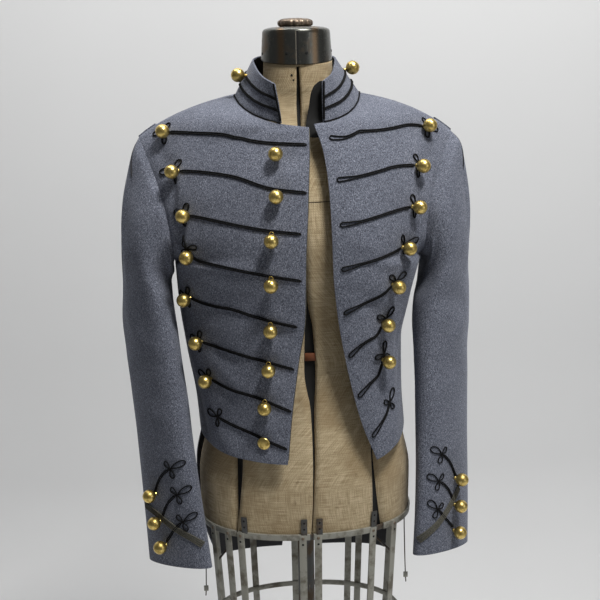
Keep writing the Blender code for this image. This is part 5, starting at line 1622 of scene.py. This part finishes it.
RING_RADIUS = 2.7
RING_STEPS = 24
rings = []
for centre, way in centre_balls[2:]:
    across = way.cross(UP).normalized()
    upwards = across.cross(way).normalized()
    middle = centre - way * 5.0 + upwards * 9.0
    turns = [2 * pi * k / RING_STEPS for k in range(RING_STEPS)]
    rings.append(([middle + (across * cos(angle) + upwards * sin(angle)) * RING_RADIUS for angle in turns],
                  True))
cord_piece("wire_rings", rings, 0.55, brass, "gilt_brass", Lobe_depth=0.0, Step=0.0006)

# %% [markdown]
# ## The form's body
#
# The form is a hollow shell in eight sections, covered in beige jersey. Turning the knob moves the
# sections apart, so dark slots run down it: one in the middle of the front and back and two over
# each hip. Each slot's edges are columns of the mesh, so the jersey folds round them and the floor
# of the slot lies deeper. That floor is painted near black, as the shade of the hollow inside.

# %% Tables of the form's body
TRUNK_COLUMNS = ("z", "half", "front", "back")
TRUNK = (
    (781, 155, 107, 103),
    (793, 156, 109, 105),
    (850, 157, 112, 108),
    (905, 147, 107, 104),
    (965, 134, 97, 95),
    (1030, 124, 90, 89),
    (1090, 132, 96, 92),
    (1150, 146, 110, 97),
    (1205, 153, 116, 102),
    (1265, 158, 104, 102),
    (1315, 160, 82, 90),
    (1345, 153.1, 67.0, 76.8),
    (1362, 135.1, 57.0, 66.8),
    (1376, 102.8, 49.8, 59.6),
    (1388, 72, 46, 54),
    (1398, 56, 45, 50),
    (1410, 50, 46, 48),
    (1426, 48, 46, 47),
    (1444.1, 47, 46, 46),
)
TRUNK_SQUARENESS = 2.25
NECK_SLOPE = 0.119      # the neck's end is lower in front
NECK_SLOPE_FOOT = 1426.0
# A slot: its top, and x of its two edges from the rim upwards
SLOT_COLUMNS = ("low", "high")
SLOT_STEP = 60.0
SLOT_FOOT = 781.0
CENTRE_SLOT = (
    (-1, 1), (2, 4), (3, 8), (2, 9), (-6, 12), (-5, 9), (-3, -1), (-8, -3), (-8, -3), (-8.0, -0.8),
    (-6.9, 0.5), (-5.5, -1.9),
)
HIP_SLOT_RIGHT = ((-108, -106), (-107, -99), (-106, -94), (-105, -95), (-105, -99))
HIP_SLOT_LEFT = ((90, 108), (89, 100), (88, 95), (90, 94), (92, 94))
BACK_CENTRE_SLOT = ((-2, 3), (-3, 5), (-4, 6), (-3, 5), (-2, 4), (-2, 3), (-2, 3), (-3, 3), (-2, 2), (-2, 2),
                    (-2, 2), (-2, 2))
BACK_HIP_RIGHT = ((-104, -98), (-106, -95), (-106, -94), (-104, -95), (-102, -98))
BACK_HIP_LEFT = ((97, 106), (96, 105), (95, 103), (94, 101), (94, 98))
SLOTS = ((BACK, BACK_HIP_LEFT), (BACK, BACK_CENTRE_SLOT), (BACK, BACK_HIP_RIGHT),
         (FRONT, HIP_SLOT_RIGHT), (FRONT, CENTRE_SLOT), (FRONT, HIP_SLOT_LEFT))
SLOT_DEPTH = 6.0
SLOT_LIP = 0.35         # how far a slot's floor lies inside its edges, in degrees
HIP_ROW = 3.0           # the row whose width places a slot's columns where the slot has ended
TRUNK_PARTS = 12


def slot_turns(row, side, table):
    """The turns of a slot's two edges round a ring, in degrees, and whether the slot is there."""
    place = (row["z"] - SLOT_FOOT) / SLOT_STEP
    there = place <= len(table) - 1
    edges = read(table, SLOT_COLUMNS, min(place, len(table) - 1.0))
    widest = row["half"] if there else read(TRUNK, TRUNK_COLUMNS, HIP_ROW)["half"]
    turns = []
    for name in SLOT_COLUMNS:
        part = max(-1.0, min(1.0, edges[name] / widest))
        angle = acos((abs(part) ** (TRUNK_SQUARENESS / 2)) * (1 if part > 0 else -1))
        turns.append(360 - angle * 180 / pi if side == FRONT else angle * 180 / pi)
    return sorted(turns), there


def trunk_point(row, degrees, inwards=0.0):
    c, s = cos(radians(degrees)), sin(radians(degrees))
    power = 2 / TRUNK_SQUARENESS
    depth = (row["back"] if s > 0 else row["front"]) - inwards
    x = (row["half"] - inwards) * abs(c) ** power * (1 if c > 0 else -1)
    y = depth * abs(s) ** power * (1 if s > 0 else -1)
    slope = NECK_SLOPE * max(0.0, (row["z"] - NECK_SLOPE_FOOT) / (TRUNK[-1][0] - NECK_SLOPE_FOOT))
    return Vector((x, y, row["z"] + slope * y))


# %% The body's rings
FILL = (9, 14, 14, 26, 14, 14, 9)   # columns between two slots, from the left side round the back


def trunk_columns(row):
    """The columns of a ring: a turn, a depth and whether the next strip is the floor of a slot."""
    columns, at = [], 0.0
    for (side, table), count in zip(SLOTS, FILL):
        (low, high), there = slot_turns(row, side, table)
        columns += [(at + (low - at) * k / count, 0.0, "jersey") for k in range(count)]
        deep, edge = (SLOT_DEPTH, 0.5) if there else (0.0, 0.0)
        lip = min(SLOT_LIP, (high - low) / 5)
        columns += [(low, edge, "edge"), (low + lip, deep, "floor"), (high - lip, deep, "edge"),
                    (high, edge, "jersey")]
        at = high + 0.0001
    columns += [(at + (360 - at) * k / FILL[-1], 0.0, "jersey") for k in range(1, FILL[-1])]
    return columns


rings, slots_here = [], []
count = (len(TRUNK) - 1) * TRUNK_PARTS
for k in range(count + 1):
    row = read(TRUNK, TRUNK_COLUMNS, (len(TRUNK) - 1) * k / count)
    ring = trunk_columns(row)
    rings.append([trunk_point(row, turn_by, deep) for turn_by, deep, _ in ring])
    slots_here.append([slot_turns(row, side, table)[1] for side, table in SLOTS])
trunk_mesh = grid_mesh("form_jersey", rings, from_axis, closed=True)
columns = len(rings[0])
floors = [k for k, (_, _, kind) in enumerate(ring) if kind == "floor"]
# The floors of the slots take the second material, near black: painted shade of the hollow inside.
for j in range(len(rings) - 1):
    for number, k in enumerate(floors):
        if slots_here[j + 1][number]:
            trunk_mesh.polygons[j * columns + k].material_index = 1
shape = bmesh.new()
shape.from_mesh(trunk_mesh)
bmesh.ops.holes_fill(shape, edges=[edge for edge in shape.edges if edge.is_boundary], sides=0)
shape.to_mesh(trunk_mesh)
shape.free()
form_jersey = new_piece("form_jersey", trunk_mesh, jersey, black_and_painted_shade)
belongs(form_jersey, ["form_torso"])
print("the form's body:", len(trunk_mesh.polygons), "faces in", len(rings), "rings")

# %% [markdown]
# ## Neck cap and knob
#
# A domed metal cap closes the neck, and the fluted knob on it turns the adjusting screw. Both are
# turned profiles. The flutes come from making the knob's radius rise and fall round it.

# %% Neck
CAP_OUTLINE = ((0, 1488.9), (24, 1488.8), (32, 1488.3), (38, 1487.4), (42.5, 1486.2), (45, 1484.8),
               (46.3, 1482.4), (46.6, 1478), (47.1, 1471), (47.6, 1464), (48.1, 1457), (48.5, 1451),
               (48.9, 1446), (48.9, 1445.2), (48.2, 1444.7), (46, 1444.7))
CAP_SHIFT = Vector((-1.5, 0, 0))
CAP_FOOT = (49.05, 1444.9)      # radius and height of the cap's slot at its foot, just off the cap
CAP_HEAD = (46.75, 1482.5)      # and at its top
CAP_HOLES = (-168, -110, -78, -12, 45, 90, 140)
FLUTES = 14
FLUTE_DEPTH = 0.05
KNOB_OUTLINE = ((0, 1500.0), (9, 1499.9), (16, 1499.3), (20.4, 1498.3), (23.2, 1496.6), (24.4, 1494.4),
                (24.2, 1491.6), (23.4, 1490.2), (21.6, 1489.4), (21, 1488.4), (0, 1488.3))
neck_cap = turned_piece("neck_cap", CAP_OUTLINE, 72, gunmetal, foot=CAP_SHIFT)
knob = turned_piece("neck_knob", KNOB_OUTLINE, 168, knob_brown)
for vertex in neck_cap.data.vertices:
    low = max(0.0, min(1.0, (1.470 - vertex.co.z) / 0.020))
    vertex.co.z += NECK_SLOPE * vertex.co.y * low
for vertex in knob.data.vertices:
    around, out = atan2(vertex.co.y, vertex.co.x), hypot(vertex.co.x, vertex.co.y)
    flute = 1 - FLUTE_DEPTH * (0.5 + 0.5 * cos(FLUTES * around)) ** 3 * (out > 0.015)
    vertex.co.x = vertex.co.x * flute - 0.0025
    vertex.co.y *= flute
belongs(neck_cap, ["form_neck"])
belongs(knob)


def cap_strip(name, x_low, x_high, side, paint):
    """A narrow upright strip on the cap, such as the painted shade that stands for its slot."""
    rows = []
    for k in range(9):
        part = k / 8
        radius = CAP_FOOT[0] + (CAP_HEAD[0] - CAP_FOOT[0]) * part
        z = CAP_FOOT[1] + NECK_SLOPE * side * radius * (1 - part) + (CAP_HEAD[1] - CAP_FOOT[1]) * part
        rows.append([Vector((x, side * (radius ** 2 - x * x) ** 0.5, z)) + CAP_SHIFT
                     for x in (x_low, x_high)])
    belongs(new_piece(name, grid_mesh(name, rows, from_axis), paint))


# The slot is drawn flat on the cap: near-black strips of painted shade in front and behind, with a bright
# steel strip beside the front one.
cap_strip("cap_slot_front", -3.6, -0.9, FRONT, black_and_painted_shade)
cap_strip("cap_slot_edge", -4.7, -3.6, FRONT, bright_steel)
cap_strip("cap_slot_back", -1.2, 1.2, BACK, black_and_painted_shade)
places = []
for degrees in CAP_HOLES:
    way = Vector((cos(radians(degrees)), sin(radians(degrees)), 0))
    places.append((way * 48.55 + CAP_SHIFT + UP * (1453.5 if degrees < -60 else 1456), way))
# The cap's holes are flat near-black heads: painted shade for the holes.
heads("cap_holes", places, 1.9, black_and_painted_shade, None, 0.12, 14, (1.2, 0.6))

# %% [markdown]
# ## Holes of the neck and the seam of the jersey
#
# Pins have left a few holes in the neck's jersey, and a seam joins its two lengths at the chest. A
# hole is a flat head from the same tree as the buttons, painted near black as the shade inside it,
# and the seam is a thin dark cord.

# %% Holes of the neck and the seam of the jersey
NECK_HOLES = ((-12.0, 1425.0, 1.6), (-9.7, 1418.7, 1.3), (25.9, 1434.9, 1.7), (26.4, 1423.2, 3.0))
NECK_RADIUS = 47.0
for k, (x, z, size) in enumerate(NECK_HOLES):
    way = Vector((x, -(NECK_RADIUS ** 2 - x ** 2) ** 0.5, 0)).normalized()
    place = (way * (NECK_RADIUS - 0.1) + UP * z, way)
    heads(f"neck_hole_{k + 1}", [place], size, black_and_painted_shade, None, 0.12, 16, (0.8, 0.5))
SEAM_PLACE = 8.95       # a place between the rows of the body's table
row = read(TRUNK, TRUNK_COLUMNS, SEAM_PLACE)
seam_line = [trunk_point(row, degrees, -0.2) for degrees in range(205, 336, 3)]
cord_piece("jersey_seam", [(seam_line, False)], 0.55, black_and_painted_shade, "jersey")

# %% [markdown]
# ## Rim and cage
#
# Below the jersey a painted steel rim holds the sections, and a cage of flat straps in a hoop keeps
# the skirt's shape. The rim is cut where the slots are. The straps are bent out a little at the
# top, so each one follows the rim's outline.

# %% Rim, hoop and straps
STRAPS = {
    FRONT: (-140, -119, -101, -13, 9, 90, 124),
    BACK: (-141, -82, -11, 81, 98, 143),
}
CLIPS = (-95, -11, 11, 91)     # x of the front's clips
RIM_WALL = 3.0
RIM_TOP = 790.0
RIM_LOW = 780.9
RIM_PLACE = 0.75
HOOP_HEIGHT = 600.0
CAGE_LOW = 568.0
CAGE_TAPER = 0.915
RIM_ROW = read(TRUNK, TRUNK_COLUMNS, RIM_PLACE)


def rim_point(degrees, out, z):
    """A point of the rim's outline, out from it, narrower lower down as the cage is."""
    taper = 1 + (CAGE_TAPER - 1) * (RIM_TOP - z) / (RIM_TOP - CAGE_LOW)
    row = {"half": (RIM_ROW["half"] + out) * taper, "front": (RIM_ROW["front"] + out) * taper,
           "back": (RIM_ROW["back"] + out) * taper, "z": z}
    return trunk_point(row, degrees)


def rim_turn(x, side):
    """The turn at which the rim has this x."""
    part = abs(x) / (RIM_ROW["half"] + SEAM + RIM_WALL)
    angle = acos(part ** (TRUNK_SQUARENESS / 2) * (1 if x > 0 else -1)) * 180 / pi
    return 360 - angle if side == FRONT else angle


def steel_strip(name, turns, low, high, out, wall_width, paint, closed=False):
    rows = [[rim_point(turn_by, out, z) for turn_by in turns] for z in (low, (low + high) / 2, high)]
    made = new_piece(name, grid_mesh(name, rows, from_axis, closed), paint)
    thicken(made, wall_width)
    rounded = made.modifiers.new("edge", "BEVEL")
    rounded.width = 0.0004
    rounded.segments = 2
    return belongs(made)


# A gap of the rim: its side and x of its two ends
GAPS = ((BACK, 97, 106), (BACK, -3, 3), (BACK, -106, -98),
        (FRONT, -107, -104.5), (FRONT, -2.5, 2.5), (FRONT, 90, 107))
bounds_of_gaps = sorted(sorted((rim_turn(a, side), rim_turn(b, side))) for side, a, b in GAPS)
for k, (_, begin) in enumerate(bounds_of_gaps):
    finish = bounds_of_gaps[(k + 1) % len(bounds_of_gaps)][0]
    finish += 360 if finish < begin else 0
    steps = max(6, int((finish - begin) / 2))
    turns = [begin + (finish - begin) * j / steps for j in range(steps + 1)]
    rim = steel_strip(f"rim_{k + 1}", turns, RIM_LOW, RIM_TOP, SEAM + RIM_WALL, RIM_WALL, olive_paint)
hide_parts("form_stand")
for k, (begin, finish) in enumerate(bounds_of_gaps):
    turns = [begin - 1 + (finish - begin + 2) * j / 4 for j in range(5)]
    steel_strip(f"rim_joint_{k + 1}", turns, RIM_LOW, RIM_TOP - 1, SEAM + 0.4, 1.2, dark_steel)
steel_strip("hoop", [3 * k for k in range(120)], HOOP_HEIGHT - 4, HOOP_HEIGHT + 4, 3.1, 2.8, olive_paint,
            True)

# %% Straps, their rivets and clips
STRAP_WIDTH = 10.5
STRAP_WALL = 2.5


def plate(name, low, high, away, size, paint):
    """A flat bar between two points with rounded edges."""
    along = (high - low).normalized()
    across = along.cross(away).normalized()
    facing = across.cross(along)
    edges = Matrix((across * size[0] * MM, facing * size[1] * MM, (high - low) * MM))
    frame_of = edges.transposed().to_4x4()
    frame_of.translation = (low + high) / 2 * MM
    shape = bmesh.new()
    bmesh.ops.create_cube(shape, size=1.0, matrix=frame_of)
    bmesh.ops.bevel(shape, geom=shape.edges, offset=0.0005, segments=2, affect="EDGES", profile=0.5)
    mesh = bpy.data.meshes.new(name)
    write_back(shape, mesh, 40)
    return belongs(new_piece(name, mesh, paint))


def level_way(degrees):
    ahead = rim_point(degrees + 0.5, 3, RIM_TOP) - rim_point(degrees - 0.5, 3, RIM_TOP)
    return ahead.cross(UP).normalized()


rivets, holes = [], []
for side, places in STRAPS.items():
    for k, x in enumerate(places):
        degrees = rim_turn(x, side)
        away = level_way(degrees)
        high = rim_point(degrees, SEAM + RIM_WALL, RIM_TOP - 1.0)
        low = rim_point(degrees, SEAM + RIM_WALL, CAGE_LOW)
        shift = away * (STRAP_WALL / 2 - 1.6)
        plate(f"strap_{'front' if side == FRONT else 'back'}_{k + 1}", low + shift, high + shift, away,
              (STRAP_WIDTH, STRAP_WALL), olive_paint)
        face = away * (STRAP_WALL - 1.6)
        rivets.append((high + face - UP * 5.0, away))
        holes.append((high + face - UP * 14.0 + away * 0.05, away))
        rivets.append((rim_point(degrees, SEAM + RIM_WALL, HOOP_HEIGHT) + face, away))
CLIP_WIDTH = 9.0
CLIP_WALL = 2.0
for k, x in enumerate(CLIPS):
    degrees = rim_turn(x, FRONT)
    away = level_way(degrees)
    foot = rim_point(degrees, SEAM + RIM_WALL, RIM_TOP - 3.0) + away * (CLIP_WALL / 2 - 2.1)
    top = foot + away * 2.4 + UP * 27.0
    plate(f"clip_{k + 1}", foot, top, away, (CLIP_WIDTH, CLIP_WALL), dark_steel)
    slope = (top - foot).normalized()
    for part in (0.42, 0.78):
        holes.append((foot.lerp(top, part) + away * (CLIP_WALL / 2 + 0.05), slope.cross(away).cross(slope)))


heads("cage_rivets", rivets, 2.3, knob_brown, None, 0.42, 16, (0.8, 0.8))
# The holes of the straps and clips are flat near-black heads: painted shade for the holes.
heads("cage_holes", holes, 1.6, black_and_painted_shade, None, 0.05, 16, (0.8, 0.8))

# %% [markdown]
# ## Pole, base and the small ironwork
#
# A black tube carries the form on a round cast base, which the photograph's edge hides, so it is
# the plain domed one of such forms. A rusty bar crosses the front slot at the waist, and thin wires
# with clips hang at the sides.

# %% Pole and base
POLE_OUTLINE = ((0, 779.5), (12.5, 779.5), (12.5, 60.0), (15.5, 57.0), (15.5, 44.0), (19, 40.0),
                (24, 35.6), (34, 31.0), (60, 22.2), (110, 17.0), (152, 13.4), (162, 12.2), (168, 10.0),
                (170, 7.0), (170, 1.2), (169, 0.0), (0, 0.0))
pole = turned_piece("pole_and_base", POLE_OUTLINE, 72, dark_steel)
belongs(pole)
BOARD_HEIGHT = 780.4
rows = [[rim_point(4 * k, 0.2 - inwards, 780.6) for k in range(90)] for inwards in (0.0, 40.0, 90.0)]
rows = [[Vector((point.x, point.y, BOARD_HEIGHT)) for point in row] for row in rows]
board_mesh = grid_mesh("bottom_board", rows, lambda point: -UP, closed=True)
board = new_piece("bottom_board", board_mesh, dark_steel)
thicken(board, 1.6)
belongs(board)


def wire(name, points, radius, paint):
    """A bent wire or rod: a curve with a round section, made a mesh."""
    line = bpy.data.curves.new(name, "CURVE")
    line.dimensions = "3D"
    line.bevel_depth = radius * MM
    line.bevel_resolution = 3
    line.use_fill_caps = True
    spline = line.splines.new("POLY")
    spline.points.add(len(points) - 1)
    for spot, point in zip(spline.points, points):
        spot.co = (*(point * MM), 1.0)
    shaped = bpy.data.objects.new(name, line)
    bpy.context.scene.collection.objects.link(shaped)
    graph = bpy.context.evaluated_depsgraph_get()
    mesh = bpy.data.meshes.new_from_object(shaped.evaluated_get(graph))
    bpy.data.objects.remove(shaped)
    mesh.shade_smooth()
    return belongs(new_piece(name, mesh, paint))


bar_rows = [[Vector((x, -88.0, z)) for x in (-4, 6, 17)] for z in (1039.5, 1045, 1050.5)]
waist_bar = new_piece("waist_bar", grid_mesh("waist_bar", bar_rows, from_axis), rust)
thicken(waist_bar, 2.0)
belongs(waist_bar)
for name, side, clip_z in (("right", RIGHT, 656.0), ("left", LEFT, 660.5)):
    line = [Vector((side * 152, -2, 778)), Vector((side * 152.5, -2, 740)), Vector((side * 153.5, -2, 700)),
            Vector((side * 155, -1, clip_z)), Vector((side * 156, 0, clip_z - 14))]
    wire("side_wire_" + name, line, 0.9, dark_steel)
    foot = Vector((side * 155, -2.4, clip_z - 5))
    plate("side_clip_" + name, foot, foot + UP * 9, Vector((0, -1, 0)), (7.0, 1.6), olive_paint)
BRACES = (("right", (-134.6, -60.0, 731.6), (-119.3, -60.0, 750.0)),
          ("left", (98.1, -60.0, 756.5), (120.6, -60.0, 732.6)))
for name, low, high in BRACES:
    wire("brace_" + name, [Vector(low), Vector(high)], 1.6, dark_steel)

# %% [markdown]
# ## Room and light
#
# A pale sweep stands in for the studio's floor and wall. One large soft light hangs above and in
# front, a weaker one fills from the other side, and the pale surroundings fill the rest. That keeps
# the shadows short and soft, as in the picture. The paper is clear when seen from its back, so that
# the coat's back can be looked at through it.

# %% Floor and backdrop
SWEEP_Y = 0.95
sweep = []
for k in range(25):
    part = k / 24
    if part < 0.4:
        sweep.append((-3.5 + (SWEEP_Y + 3.0) * part / 0.4, 0.0))
    elif part < 0.6:
        turn_by = (part - 0.4) / 0.2 * pi / 2
        sweep.append((SWEEP_Y - 0.5 + 0.5 * sin(turn_by), 0.5 - 0.5 * cos(turn_by)))
    else:
        sweep.append((SWEEP_Y, 0.5 + 4.0 * (part - 0.6) / 0.4))
rows = [[Vector((x, y, z)) * 1000 for x in (-4.0, -1.5, 0.0, 1.5, 4.0)] for y, z in sweep]
pale = make_plain("pale paper", (0.70, 0.705, 0.71), 0.95, 0.02, 1.5)
paper = pale.node_tree
clear = add(paper, "ShaderNodeBsdfTransparent").outputs["BSDF"]
behind = add(paper, "ShaderNodeNewGeometry").outputs["Backfacing"]
one_sided = add(paper, "ShaderNodeMixShader",
                {0: behind, 1: paper.nodes["Principled BSDF"].outputs["BSDF"], 2: clear}).outputs["Shader"]
paper.links.new(one_sided, paper.nodes["Material Output"].inputs["Surface"])
room = new_piece("room", grid_mesh("room", rows, lambda point: Vector((0, -1, 1))), pale)


def soft_light(name, place, aim, size, power, colour):
    lamp = bpy.data.objects.new(name, bpy.data.lights.new(name, "AREA"))
    bpy.context.scene.collection.objects.link(lamp)
    lamp.data.shape = "RECTANGLE"
    lamp.data.size, lamp.data.size_y = size
    lamp.data.energy = power
    lamp.data.color = colour
    lamp.location = place
    lamp.rotation_mode = "QUATERNION"
    lamp.rotation_quaternion = (Vector(aim) - Vector(place)).to_track_quat("-Z", "Y")


soft_light("main softbox", (0.62, -1.05, 3.3), (0, -0.1, 1.2), (0.6, 0.45), 63, (1.0, 0.985, 0.96))
soft_light("wall wash", (-0.2, 0.15, 3.3), (0.1, 0.95, 1.2), (2.2, 0.3), 29, (1.0, 1.0, 1.0))
soft_light("fill", (1.9, -1.5, 1.5), (0, 0, 1.1), (1.2, 1.4), 6, (0.96, 0.98, 1.0))
world = bpy.data.worlds.new("pale surroundings")
bpy.context.scene.world = world
world.use_nodes = True
sky = world.node_tree
fill(sky, sky.nodes["Background"], {"Color": (0.83, 0.84, 0.86), "Strength": 0.13})
bpy.context.scene.view_settings.view_transform = "Standard"
